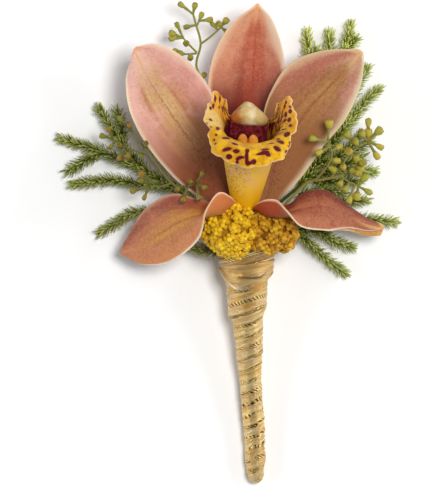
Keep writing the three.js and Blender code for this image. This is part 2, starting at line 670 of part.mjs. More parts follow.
// ---- Budded twigs ----
// Each twig has one stem, branches that start on it, and buds, each on a stalk from the nearest wood.
const TWIGS = {
  bud_twig_top: {
    slot: 4,
    cut: 16,
    stem: [
      [-1.4, 9, 8.2], [-3, 24, 7.4], [-5.1, 39.4, 8.6], [-8, 45.6, 9.4], [-7.7, 49, 9.8],
      [-6.6, 52.7, 10],
    ],
    branches: [
      [[-6.6, 52.5, 10], [-8.2, 56, 10.4], [-9, 59.4, 10.6]],
      [[-6.6, 52.5, 10], [-4.4, 53.8, 10.4], [-2.6, 55.6, 10.6]],
      [[-8.1, 55.7, 10.4], [-10.2, 54.8, 10], [-11.8, 53.6, 9.6]],
      [[-7.7, 49.4, 9.8], [-9.4, 50.4, 9.4], [-11, 49.9, 9.2]],
    ],
    buds: [
      [-12, 61.2, 11], [-9.6, 62, 11.4], [-6.9, 60.3, 10.2], [-4.8, 58.4, 11.2], [-2.4, 58.6, 10],
      [-0.2, 57.6, 11], [0.1, 54.6, 10.4], [-13.2, 57, 10.4], [-10.6, 57.4, 9], [-14.9, 54.7, 9.6],
      [-13.6, 52.1, 9.8], [-13.3, 50.2, 9.2], [-11.9, 48.4, 9.8], [-5.6, 43.4, 9.4],
      [-5.2, 49.8, 10.4],
    ],
  },
  bud_twig_left: {
    slot: 3.4,
    cut: 14,
    stem: [
      [-1, 5, 11], [-7, 10, 11.6], [-13.4, 14.6, 14.6], [-17, 18.4, 15.4], [-20.6, 23.4, 15],
      [-24.8, 28.8, 14],
    ],
    branches: [
      [[-14.4, 15.5, 14.9], [-17.4, 14.6, 14], [-20.4, 14.8, 13]],
      [[-20.4, 23.2, 15], [-25.4, 24.4, 12.6], [-30, 27, 11]],
      [[-13.2, 14.5, 14.6], [-10.6, 14.6, 17.4], [-8, 15.4, 18.6]],
    ],
    buds: [
      [-28, 32.2, 13.4], [-25.6, 30.6, 15.4], [-32.6, 27.8, 10.6], [-30.4, 25, 12], [-28, 25.4, 13.8],
      [-31, 29.6, 12], [-28.2, 22, 11.6], [-26, 22.4, 13.6], [-21.2, 25.6, 17.6], [-22.6, 22.9, 12.6],
      [-22.4, 18, 13], [-22.6, 16.2, 14.6], [-24.6, 13.4, 12], [-21.6, 11.8, 13.4], [-13, 13.8, 18.4],
      [-9.6, 15.8, 20.6], [-6.6, 17.8, 19.6], [-6, 14.2, 20.6], [-11.4, 11, 20.2], [-7.4, 11.6, 21],
    ],
  },
  bud_twig_right: {
    slot: 1.6,
    cut: 15,
    stem: [
      [10.6, 4.6, 12], [16, 11, 12.4], [20.6, 15.4, 13.6], [25, 16.4, 15.6], [29.4, 17.4, 16.6],
      [33.6, 20.4, 16],
    ],
    branches: [
      [[22.6, 15.9, 14.6], [25.8, 19.6, 17.6], [27.1, 23, 19], [26, 26.1, 20]],
      [[27, 16.9, 16.2], [30, 20.6, 16], [33.2, 24.2, 15.6], [36.4, 26.4, 15.4]],
      [[29.2, 17.3, 16.6], [31.8, 15.6, 16.4], [34, 14.6, 16]],
    ],
    buds: [
      [26.3, 30.8, 21], [22, 26.9, 21], [23.6, 23.3, 20], [36.6, 31.2, 16], [34.9, 28.4, 17.4],
      [39.4, 29, 15.4], [39.6, 24.9, 15.4], [38.8, 22.6, 14.4], [31.4, 23.6, 18], [28.9, 24.8, 17.4],
      [31, 28, 18], [35, 20.6, 18], [33.8, 17.9, 18.4], [35.6, 16.8, 15.4], [30, 19.6, 19],
      [30.6, 13.8, 18.4], [36.6, 13.2, 15.6], [33.6, 12, 15], [31.6, 11, 17],
    ],
  },
};

/** The point on a set of curves that is nearest to a place. */
function nearestOn(curves, place) {
  const candidates = curves.flatMap((curve) => curve.getPoints(40));
  return candidates.reduce((a, b) => (b.distanceTo(place) < a.distanceTo(place) ? b : a));
}

/** A bud on its stalk, in one piece that swells from the stalk and ends in a blunt point. */
function budSolid(root, centre) {
  const along = centre.clone().sub(root).normalize();
  const side = along.clone().cross(ACROSS).normalize();
  const up = along.clone().cross(side);
  const reach = centre.distanceTo(root);
  const neck = max(reach - BUD_LENGTH / 2, 0.3);
  const rings = [
    [0, BUD_STALK_RADIUS],
    [neck, BUD_STALK_RADIUS * 1.2],
    [reach + 0.05 * BUD_LENGTH, BUD_RADIUS],
  ];
  const points = rings.flatMap(([distance, radius]) =>
    Array.from({ length: BUD_SIDES }, (_, j) => {
      const a = (2 * PI * j) / BUD_SIDES;
      return root
        .clone()
        .addScaledVector(along, distance)
        .addScaledVector(side, radius * cos(a))
        .addScaledVector(up, radius * sin(a));
    }),
  );
  const tip = root.clone().addScaledVector(along, reach + BUD_LENGTH / 2);
  return ringedSolid(points, BUD_SIDES, rings.length - 1, root.clone(), tip);
}

function twigSolid({ slot, cut, stem, branches, buds }) {
  const main = curveThrough([...slotPath(slot, cut), ...stem]);
  const wood = [main, ...branches.map(curveThrough)];
  const solids = wood.map((curve, k) =>
    tubeSolid(curve, (t) => (k ? TWIG_RADIUS : lerp(STEM_RADIUS, TWIG_RADIUS, t)), 4, k ? 3 : 13),
  );
  for (const bud of buds) {
    const centre = vector(bud);
    solids.push(budSolid(nearestOn(wood, centre), centre));
  }
  return joined(solids);
}

// ---- Yarrow ----
// Each head is a low dome packed with florets, on one stem.
const YARROWS = {
  yarrow_left: { slot: 2.6, cut: 11, centre: [0.4, 3.6, 17], radii: [5.6, 6.2, 3.4], florets: 22 },
  yarrow_right: { slot: 1, cut: 10, centre: [11.9, 2.6, 16.2], radii: [5.8, 4.6, 3.2], florets: 17 },
};

function yarrowSolid({ slot, cut, centre, radii, florets }, grow = 0) {
  const dome = new THREE.SphereGeometry(1, 10, 6);
  dome.scale(...radii.map((radius) => radius + grow)).translate(...centre);
  const stem = [...slotPath(slot, cut), centre];
  const solids = [solidFromGeometry(dome), rodSolid(stem, STEM_RADIUS, 4, 6)];
  for (let k = 0; k < florets; k++) {
    const height = 1 - (YARROW_DEPTH * (k + 0.5)) / florets;
    const turn = k * GOLDEN_ANGLE;
    const across = sqrt(1 - height * height);
    const way = vector([across * cos(turn), across * sin(turn), height]);
    const radius = FLORET_RADIUS * (0.9 + 0.1 * cos(k * 1.7)) + grow;
    const floret = new THREE.IcosahedronGeometry(radius, 0);
    floret.rotateZ(k).rotateX(k * 0.7);
    const place = way.clone().multiply(vector(radii)).add(vector(centre));
    floret.translate(...place.toArray());
    solids.push(solidFromGeometry(floret));
  }
  return joined(solids);
}

// ---- Colours and finishes ----
const finish = (color, roughness, metalness = 0) =>
  new THREE.MeshStandardMaterial({ color, roughness, metalness });

const MATERIALS = {
  coral: finish("#c4826a", 0.55),
  lipYellow: finish("#d9a32e", 0.5),
  orange: finish("#cf7a24", 0.5),
  maroon: finish("#8a4a3a", 0.5),
  cream: finish("#e8d3a0", 0.5),
  stem: finish("#7d8a4a", 0.6),
  fern: finish("#6f7a3c", 0.7),
  bud: finish("#a3a04c", 0.6),
  yarrow: finish("#d9a520", 0.8),
  wire: finish("#4d6a43", 0.4, 0.6),
  tape: finish("#5f7444", 0.8),
  ribbon: finish("#c9a66a", 0.35, 0.5),
};

// ---- Assembly ----
const boutonniere = new THREE.Group();

function add(name, solid, material) {
  const mesh = solid.getMesh();
  const geometry = new THREE.BufferGeometry();
  geometry.setAttribute("position", new THREE.BufferAttribute(mesh.vertProperties, 3));
  geometry.setIndex(new THREE.BufferAttribute(mesh.triVerts, 1));
  geometry.computeVertexNormals();
  const part = new THREE.Mesh(geometry, material);
  part.name = name;
  boutonniere.add(part);
}

// The lip and the column keep their whole shape. What meets them is cut back, and so on outwards: each
// piece leaves a little room round the pieces that were placed before it.
const columnRoom = columnSolid(ROOM);
const heart = [lipSolid(ROOM), columnRoom];
const bladeRoom = (name) => perianthSolid(BLADES[name], ROOM);

add("lip", lipSolid(), MATERIALS.lipYellow);
add("column", columnSolid(), MATERIALS.maroon);
add("anther_cap", clearOf(antherCapSolid(), [columnRoom]), MATERIALS.cream);
add("lip_callus", callusSolid(), MATERIALS.orange);

add("petal_left", perianthSolid(BLADES.petal_left), MATERIALS.coral);
add("petal_right", perianthSolid(BLADES.petal_right), MATERIALS.coral);
add(
  "dorsal_sepal",
  clearOf(perianthSolid(BLADES.dorsal_sepal), [
    ...heart,
    bladeRoom("petal_left"),
    bladeRoom("petal_right"),
  ]),
  MATERIALS.coral,
);
const LATERALS = ["lateral_sepal_left", "lateral_sepal_right"];
for (const name of LATERALS) add(name, clearOf(perianthSolid(BLADES[name]), heart), MATERIALS.coral);
add("orchid_stem", clearOf(orchidStemSolid(), [...heart, bladeRoom(LATERALS[0])]), MATERIALS.stem);

for (const [name, fern] of Object.entries(FERNS)) add(name, fernSolid(fern), MATERIALS.fern);
for (const [name, twig] of Object.entries(TWIGS)) add(name, twigSolid(twig), MATERIALS.bud);
const bloom = [...heart, ...LATERALS.map((name) => bladeRoom(name).add(perianthSolid(BLADES[name])))];
const yarrowRoom = yarrowSolid(YARROWS.yarrow_left, ROOM);
add("yarrow_left", clearOf(yarrowSolid(YARROWS.yarrow_left), bloom), MATERIALS.yarrow);
add("yarrow_right", clearOf(yarrowSolid(YARROWS.yarrow_right), [...bloom, yarrowRoom]), MATERIALS.yarrow);
add("florist_wire", floristWireSolid(), MATERIALS.wire);
add("floral_tape", floralTapeSolid(), MATERIALS.tape);
add("gold_ribbon", goldRibbonSolid(), MATERIALS.ribbon);

export default boutonniere;
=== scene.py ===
# %% [markdown]
# # An orchid boutonniere, looked down on as it lies on a white table
# The solid model of every piece is loaded first, as a frame that never moves. Each step then works out a
# finer surface for some of the pieces, in the same place, and a finish for it.

# %% Load the solid model
import math

import bpy
import numpy as np
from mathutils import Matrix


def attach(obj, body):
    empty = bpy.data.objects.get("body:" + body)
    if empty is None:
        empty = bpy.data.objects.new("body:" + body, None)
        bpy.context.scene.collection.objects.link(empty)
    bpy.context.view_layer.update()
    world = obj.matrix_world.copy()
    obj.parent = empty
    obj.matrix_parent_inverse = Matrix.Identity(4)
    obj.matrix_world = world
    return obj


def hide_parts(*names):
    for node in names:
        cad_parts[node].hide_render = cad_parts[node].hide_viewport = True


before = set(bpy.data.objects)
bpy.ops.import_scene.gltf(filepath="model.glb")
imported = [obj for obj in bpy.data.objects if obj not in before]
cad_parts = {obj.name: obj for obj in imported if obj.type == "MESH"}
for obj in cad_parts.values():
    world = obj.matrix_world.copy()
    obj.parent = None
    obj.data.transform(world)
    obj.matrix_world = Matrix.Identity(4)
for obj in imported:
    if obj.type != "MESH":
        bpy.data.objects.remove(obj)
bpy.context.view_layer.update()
MM = 0.001

# %% [markdown]
# ## Curves and closed surfaces
# Petals, stems and ribbon are all soft shapes that follow smooth lines. They could be sculpted, but numbers
# are easier to keep true: a curve through a few measured points carries rings of points, and neighbouring
# rings are joined by triangles. All of it is worked out as whole arrays, in millimetres.

# %% Curves
ACROSS = np.array([0.3, 0.2, 1.0])  # a way that no stem, needle or bud points
GOLDEN_ANGLE = math.pi * (3 - math.sqrt(5))


def unit(vectors):
    """Each vector divided by its length."""
    return vectors / np.maximum(np.linalg.norm(vectors, axis=-1, keepdims=True), 1e-9)


def smooth_curve(points, u):
    """Places at u from 0 to 1: between two points the line is the cubic that passes through both and runs
    there parallel to the line between their neighbours. Each point takes an equal share of u."""
    p = np.asarray(points, float)
    p = np.vstack([2 * p[0] - p[1], p, 2 * p[-1] - p[-2]])
    t = np.clip(u, 0, 1) * (len(p) - 3)
    k = np.minimum(t.astype(int), len(p) - 4)
    t = (t - k)[..., None]
    a, b, c, d = (p[k + i] for i in range(4))
    return b + 0.5 * t * ((c - a) + t * (2 * a - 5 * b + 4 * c - d + t * (3 * (b - c) + d - a)))


def even_curve(points, t):
    """Places at t from 0 to 1 by length along the same curve, and the directions there."""
    fine = smooth_curve(points, np.linspace(0, 1, 40 * len(points)))
    length = np.append(0, np.cumsum(np.linalg.norm(np.diff(fine, axis=0), axis=1)))
    along = unit(np.gradient(fine, axis=0))
    at = np.asarray(t) * length[-1]
    place, way = (np.stack([np.interp(at, length, x[:, k]) for k in range(3)], -1) for x in (fine, along))
    return place, unit(way)


def curve_length(points):
    """The length of the curve: the sum of its short straight steps."""
    fine = smooth_curve(points, np.linspace(0, 1, 40 * len(points)))
    return np.linalg.norm(np.diff(fine, axis=0), axis=1).sum()


def smoothstep(x, low, high):
    """3s^2 - 2s^3, where s is how far x is from low to high."""
    s = np.clip((x - low) / (high - low), 0, 1)
    return s * s * (3 - 2 * s)


def eased(pairs, place):
    """A value eased from one listed place to the next, from [place, value] pairs."""
    places, values = np.array(pairs, float).T
    k = np.clip(np.searchsorted(places, place, side="right"), 1, len(places) - 1)
    return values[k - 1] + (values[k] - values[k - 1]) * smoothstep(place, places[k - 1], places[k])


# %% Closed surfaces
def loft(rings, marks=None):
    """Closes rings of points into tubes. rings is (tubes, stations, sides, 3), and each end gets a middle
    point. marks gives four numbers for each point, which the finish can read."""
    tubes, stations, sides, _ = rings.shape
    if marks is None:
        marks = np.zeros((tubes, stations, sides, 4))
    marks = np.broadcast_to(marks, (tubes, stations, sides, 4))
    points, notes = (
        np.concatenate([x.reshape(tubes, stations * sides, -1), x[:, [0, -1]].mean(axis=2)], axis=1)
        for x in (rings, marks)
    )
    i, j = np.meshgrid(np.arange(stations - 1), np.arange(sides), indexing="ij")
    a, b = i * sides + j, i * sides + (j + 1) % sides
    wall = np.stack([a, b, b + sides, a, b + sides, a + sides], -1).reshape(-1, 3)
    j = np.arange(sides)
    first, last = np.full(sides, stations * sides), np.full(sides, stations * sides + 1)
    top = (stations - 1) * sides
    caps = np.concatenate([
        np.stack([first, (j + 1) % sides, j], -1), np.stack([last, top + j, top + (j + 1) % sides], -1)])
    one = np.concatenate([wall, caps])
    faces = one[None] + (np.arange(tubes) * points.shape[1])[:, None, None]
    return points.reshape(-1, 3), faces.reshape(-1, 3), notes.reshape(-1, 4)


def outwards(part):
    """The same part with its faces turned outwards: a closed shape's signed volume is then positive."""
    points, faces, notes = part
    a, b, c = (points[faces[:, k]] for k in range(3))
    volume = np.einsum("ij,ij->", a, np.cross(b, c))
    return part if volume > 0 else (points, faces[:, ::-1], notes)


# %% Rods
def tube(points, radius, sides=10, steps=24, mark=(0, 0, 0, 0)):
    """A round rod: rings of a radius round even places on a curve. radius is a number or f(t)."""
    t = np.linspace(0, 1, steps)
    place, along = even_curve(points, t)
    side = unit(np.cross(along, ACROSS))
    up = np.cross(along, side)
    r = np.broadcast_to(radius(t) if callable(radius) else radius, t.shape)
    angle = np.arange(sides) * 2 * np.pi / sides
    ring = np.cos(angle)[None, :, None] * side[:, None] + np.sin(angle)[None, :, None] * up[:, None]
    notes = np.zeros((1, steps, sides, 4)) + np.array(mark)
    notes[..., 0] = t[None, :, None]
    return outwards(loft((place[:, None] + r[:, None, None] * ring)[None], notes))


# %% Making a piece
def make_piece(name, node, finish, parts):
    """One mesh from several closed parts: the points are listed one part after another, and each part's
    faces count on from the points before them. It stands for its node of the solid model."""
    start, points, faces, notes = 0, [], [], []
    for p, f, n in parts:
        points.append(p)
        faces.append(f + start)
        notes.append(n)
        start += len(p)
    points, faces, notes = (np.concatenate(x) for x in (points, faces, notes))
    mesh = bpy.data.meshes.new(name)
    mesh.vertices.add(len(points))
    mesh.vertices.foreach_set("co", (points * MM).astype(np.float32).ravel())
    mesh.loops.add(faces.size)
    mesh.loops.foreach_set("vertex_index", faces.astype(np.int32).ravel())
    mesh.polygons.add(len(faces))
    mesh.polygons.foreach_set("loop_start", np.arange(0, faces.size, 3, dtype=np.int32))
    mesh.update(calc_edges=True)
    kept = mesh.attributes.new("where", "FLOAT_COLOR", "POINT")
    kept.data.foreach_set("color", notes.astype(np.float32).ravel())
    mesh.shade_smooth()
    mesh.materials.append(finish)
    made = bpy.data.objects.new(name, mesh)
    bpy.context.scene.collection.objects.link(made)
    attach(made, "root")
    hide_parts(node)
    print(f"{name}: {len(faces)} triangles")
    return made


# %% [markdown]
# ## Finishes as sums
# A plant's colours are mixtures: a ground colour, a paler margin, veins, speckles. In Blender that is a
# tree of nodes. Two small classes let it be written as arithmetic: `Value` stands for one number that
# changes over the surface, and `Finish` makes the nodes.

# %% Arithmetic on sockets
class Value:
    """A socket whose number varies over a surface. Sums of values become Math nodes."""

    def __init__(self, finish, socket):
        self.finish, self.socket = finish, socket

    def math(self, operation, *others):
        return self.finish.node("ShaderNodeMath", {"operation": operation}, dict(enumerate([self, *others])))

    def __add__(self, other):
        return self.math("ADD", other)

    def __sub__(self, other):
        return self.math("SUBTRACT", other)

    def __rsub__(self, other):
        return (self * -1) + other

    def __mul__(self, other):
        return self.math("MULTIPLY", other)

    def __pow__(self, other):
        return self.math("POWER", other)

    def __abs__(self):
        return self.math("ABSOLUTE")

    __radd__, __rmul__ = __add__, __mul__

    def sine(self):
        return self.math("SINE")

    def least(self, other):
        return self.math("MINIMUM", other)

    def most(self, other):
        return self.math("MAXIMUM", other)

    def step(self, low, high):
        """0 below low, 1 above high, and eased between them. With low above high it falls instead."""
        settings = {"interpolation_type": "SMOOTHSTEP"}
        if low < high:
            return self.finish.node("ShaderNodeMapRange", settings, {0: self, 1: low, 2: high})
        return 1 - self.finish.node("ShaderNodeMapRange", settings, {0: self, 1: high, 2: low})


# %% Colours
def tint(code):
    """A colour from its six-figure screen code, as linear light: each part above 0.04045 is raised to 2.4
    after 0.055 is added and the sum is divided by 1.055."""
    parts = np.array([int(code[k:k + 2], 16) / 255 for k in (1, 3, 5)])
    linear = np.where(parts > 0.04045, ((parts + 0.055) / 1.055) ** 2.4, parts / 12.92)
    return (*linear.tolist(), 1.0)


# %% Nodes
class Nodes:
    """A tree of nodes being built. Every node but the shader itself comes from its one method, node."""

    def __init__(self, tree):
        self.tree = tree

    def link(self, value, socket):
        """Feeds a socket from a value."""
        self.tree.links.new(value.socket, socket)

    def node(self, kind, settings=None, inputs=None, output=0):
        """Adds a node: first its settings, then the numbers or links of its sockets. Gives one output."""
        made = self.tree.nodes.new(kind)
        for key, value in (settings or {}).items():
            setattr(made, key, value)
        for key, value in (inputs or {}).items():
            if isinstance(value, Value):
                self.link(value, made.inputs[key])
            else:
                made.inputs[key].default_value = value
        return Value(self, made.outputs[output])


# %% A finish
class Finish(Nodes):
    """A material being built on one Principled shader. Constants are set on the shader's own sockets."""

    def __init__(self, name, **constants):
        self.material = bpy.data.materials.new(name)
        self.material.use_nodes = True
        super().__init__(self.material.node_tree)
        self.shader = self.tree.nodes["Principled BSDF"]
        for socket, value in constants.items():
            self.shader.inputs[socket.replace("_", " ")].default_value = value

    def where(self):
        """The four numbers kept with each point."""
        vector = self.node("ShaderNodeAttribute", {"attribute_name": "where"}, output="Vector")
        parts = [self.node("ShaderNodeSeparateXYZ", None, {0: vector}, k) for k in range(3)]
        return *parts, self.node("ShaderNodeAttribute", {"attribute_name": "where"}, output="Alpha")

    def place(self):
        """The point's own coordinates, in metres."""
        return self.node("ShaderNodeTexCoord", output="Object")

    def vector(self, x, y, z=0.0):
        """Three values as one place for a pattern, so that it can be stretched along the surface."""
        return self.node("ShaderNodeCombineXYZ", None, {0: x, 1: y, 2: z})

    def noise(self, scale, at=None, detail=2.0, roughness=0.5):
        """Soft random relief between 0 and 1, scale lumps to a unit."""
        inputs = {"Vector": at or self.place(), "Scale": scale, "Detail": detail, "Roughness": roughness}
        return self.node("ShaderNodeTexNoise", None, inputs)

    def mix(self, share, first, second):
        """first where share is 0 and second where it is 1."""
        first, second = (tint(c) if isinstance(c, str) else c for c in (first, second))
        inputs = {"Factor": share, 6: first, 7: second}
        return self.node("ShaderNodeMix", {"data_type": "RGBA"}, inputs, 2)

    def paint(self, colour, roughness=None, relief=None, depth=0.1, metallic=None):
        """Links what varies to the shader; relief is a height between 0 and 1 of a depth in millimetres."""
        for name, value in (("Base Color", colour), ("Roughness", roughness), ("Metallic", metallic)):
            if value is not None:
                self.link(value, self.shader.inputs[name])
        if relief is not None:
            inputs = {"Height": relief, "Distance": depth * MM, "Strength": 1.0}
            self.link(self.node("ShaderNodeBump", None, inputs), self.shader.inputs["Normal"])
        return self.material


# %% [markdown]
# ## Sepals and petals
# Five thick, waxy blades. Each hangs on three curves from its base to its tip, the two margins and the
# midrib, and every crosswise line is the parabola through them. That keeps the outline exactly where it was
# measured, and lets the middle sink or rise as the real one does.

# %% Their three curves
BLADES = {
    "dorsal_sepal": {
        "first": [[3, 10.3, 12.5], [-1.4, 24.1, 13], [-4.9, 36.3, 13.5], [-4, 46.9, 14.5],
                  [0.9, 56.6, 18], [7.4, 61.6, 20.5]],
        "midrib": [[4.5, 10.3, 11], [5.6, 22.8, 9.5], [6.4, 35, 9], [6.9, 46.9, 10.5], [7.4, 56.3, 15.5],
                   [7.8, 61.9, 20.5]],
        "second": [[6.4, 10.3, 12.5], [11.6, 24.1, 13.5], [15.2, 37.6, 14.5], [14.8, 48, 15],
                   [11.6, 57.3, 18], [8.2, 61.6, 20.5]],
    },
    "petal_left": {
        "first": [[-2.2, 9.2, 13], [-11.6, 14.7, 14], [-20.2, 24.1, 15.5], [-25.1, 33.1, 16.5],
                  [-26.4, 41.2, 17], [-25.7, 45.9, 18], [-24.4, 49.9, 20]],
        "midrib": [[-0.5, 9.5, 12.5], [-4.9, 19.4, 13.2], [-10.1, 27.2, 14], [-15, 33.9, 15],
                   [-19.4, 40.7, 16.5], [-22.2, 45.9, 18.5], [-24.2, 50.2, 20]],
        "second": [[1.2, 9.8, 12.6], [0.6, 21.8, 13.8], [-2.2, 32.4, 15.6], [-5.1, 41, 17],
                   [-11.6, 48.2, 18.5], [-18.3, 51.4, 20], [-23.5, 50.8, 20.3]],
    },
    "petal_right": {
        "first": [[8.2, 9.8, 13], [7.9, 21.4, 14.5], [9, 31.9, 16], [11.3, 39.1, 17], [16.2, 46.4, 17.5],
                  [24.6, 49.8, 19], [33.7, 50.1, 21]],
        "midrib": [[9.5, 9.5, 12.5], [11.8, 18.3, 13.5], [15.7, 26.7, 14], [20.9, 34.5, 15],
                   [26.7, 40.7, 16.5], [31.3, 45.6, 18.5], [34.8, 49.5, 21]],
        "second": [[11.1, 9, 13], [18.6, 16.2, 14], [25.1, 25.1, 15.5], [30.3, 31.3, 17], [33.9, 39.1, 18],
                   [35.2, 44.9, 19.5], [35.1, 48.8, 21]],
    },
    "lateral_sepal_left": {
        "first": [[3.4, 8.6, 16.5], [0.9, 11.8, 23], [-2.3, 12.8, 26.5], [-5.2, 8.2, 26], [-7.4, 0.9, 22],
                  [-14.4, -4.8, 16], [-21.4, -5.9, 11.5], [-26.9, -3.5, 8]],
        "midrib": [[2.2, 9, 14.5], [0.4, 8.8, 18], [-2.4, 7.8, 21], [-6.9, 6.9, 21.5], [-12.9, 4.8, 18],
                   [-18.9, 1.2, 14], [-23.8, -1.7, 10.5], [-28.1, -2.6, 8]],
        "second": [[1.2, 9.8, 13], [-0.4, 10.2, 14.4], [-3, 10.5, 15.8], [-7.9, 11.2, 17], [-14.4, 12.6, 15],
                   [-21.4, 8.7, 12], [-25.6, 2.7, 9.5], [-27.7, -1.7, 8]],
    },
    "lateral_sepal_right": {
        "first": [[7.9, 9.8, 13], [9.4, 9.9, 14.2], [11.1, 10, 15.5], [13.5, 10.1, 16.6],
                  [16, 10.3, 17.5], [19.9, 13.1, 17.5], [25.4, 13.5, 16], [31.3, 9.5, 13.5],
                  [36, 6.4, 11.5], [40.4, 4.8, 10.5]],
        "midrib": [[7.2, 9, 14.5], [8.6, 8.2, 17.5], [10.3, 7.4, 20.5], [12.6, 7.2, 22.4], [15, 7.2, 23],
                   [19.9, 8.7, 21.5], [26.1, 9, 18.5], [31.9, 6.4, 15], [36.5, 4.3, 13], [40.7, 3.8, 10.5]],
        "second": [[6.4, 8.2, 16], [7.4, 9.9, 21], [9.6, 10.9, 26], [12.6, 10.7, 28.6], [15.2, 8.3, 28.5],
                   [19.1, 4.2, 25], [25.1, 3.1, 20], [31.1, 3.1, 15], [35.5, 2, 10.5], [39.9, 1.8, 9]],
    },
}
PETAL_THICKNESS = 1.1


# %% A blade as one closed surface
def shell(middle, thickness, extra=0.0, facing=1, u=None):
    """Two faces, half a thickness either way along the normal of a grid (u, v, 3), and a rim that joins
    them. Each point keeps u, v, 1 on the face that looks at the camera or 0 on the other, and an extra
    number."""
    rows, columns, _ = middle.shape
    normal = unit(np.cross(np.gradient(middle, axis=1), np.gradient(middle, axis=0))) * facing
    points = np.concatenate([middle + s * thickness[..., None] / 2 * normal for s in (1, -1)]).reshape(-1, 3)
    k = np.arange(rows * columns).reshape(rows, columns)
    a, b, c, d = k[:-1, :-1], k[:-1, 1:], k[1:, 1:], k[1:, :-1]
    sheet = np.stack([a, b, c, a, c, d], -1).reshape(-1, 3)
    rim = np.concatenate([k[0, :-1], k[:-1, -1], k[-1, :0:-1], k[:0:-1, 0]])
    ahead, under = np.roll(rim, -1), k.size
    wall = np.stack([ahead, rim, rim + under, ahead, rim + under, ahead + under], -1).reshape(-1, 3)
    u = np.linspace(0, 1, rows)[:, None] if u is None else u
    v = across_places(columns)[None, :]
    notes = [np.stack(np.broadcast_arrays(u, v, face, extra), -1).reshape(-1, 4) for face in (1.0, 0.0)]
    return outwards((points, np.concatenate([sheet, sheet[:, ::-1] + under, wall]), np.concatenate(notes)))


def across_places(columns):
    """Places from -1 to 1 across a blade, closer together near the margins: the sine of even angles."""
    return np.sin(np.linspace(-np.pi / 2, np.pi / 2, columns))


def blade(curves, rows=110, columns=61, waves=0.35, phase=0.0, nick=None):
    """M(1 - v^2) + A(v^2 - v)/2 + B(v^2 + v)/2 for margins A and B and midrib M, with a shallow channel
    along the midrib, slow waves that grow towards the margins, and a thickness that rounds off at the rim.
    A nick (side, u, length, depth) draws one margin in by a share of v that falls off as a bell on both
    sides. The rim rounds off by the root of 1 less a high power, and stays 0.12 of the thickness there."""
    u = np.linspace(0, 1, rows)
    v = across_places(columns)[None, :, None]
    if nick:
        side, at, length, depth = nick
        bell = np.exp(-(((u[:, None, None] - at) / length) ** 2))
        v = v * (1 - depth * (v * side > 0) * np.abs(v) ** 6 * bell)
    a, m, b = (smooth_curve(curves[k], u)[:, None] for k in ("first", "midrib", "second"))
    middle = m * (1 - v * v) + a * (v * v - v) / 2 + b * (v * v + v) / 2
    normal = unit(np.cross(np.gradient(middle, axis=1), np.gradient(middle, axis=0)))
    u, v = u[:, None], across_places(columns)[None, :]
    channel = -0.22 * np.exp(-((v / 0.14) ** 2)) * smoothstep(u, 0, 0.1) * (1 - smoothstep(u, 0.6, 0.95))
    ripple = waves * v * v * np.sin(9 * u + 2.4 * v + phase) * np.sin(np.pi * u) ** 0.5
    middle = middle + (channel + ripple)[..., None] * normal
    rim = np.sqrt(np.clip(1 - np.abs(v) ** 10, 0, 1)) * np.sqrt(np.clip(1 - u ** 30, 0, 1))
    return shell(middle, PETAL_THICKNESS * (1 - 0.35 * v * v) * np.maximum(rim, 0.12))


# %% [markdown]
# ## The petals' finish
# A cymbidium's petals are coral, with ochre bands either side of the midrib, pinker flanks, a pale margin,
# and veins and freckles that run from base to tip. Bands and veins are noise that is stretched along the
# blade, so they follow it round every curl.

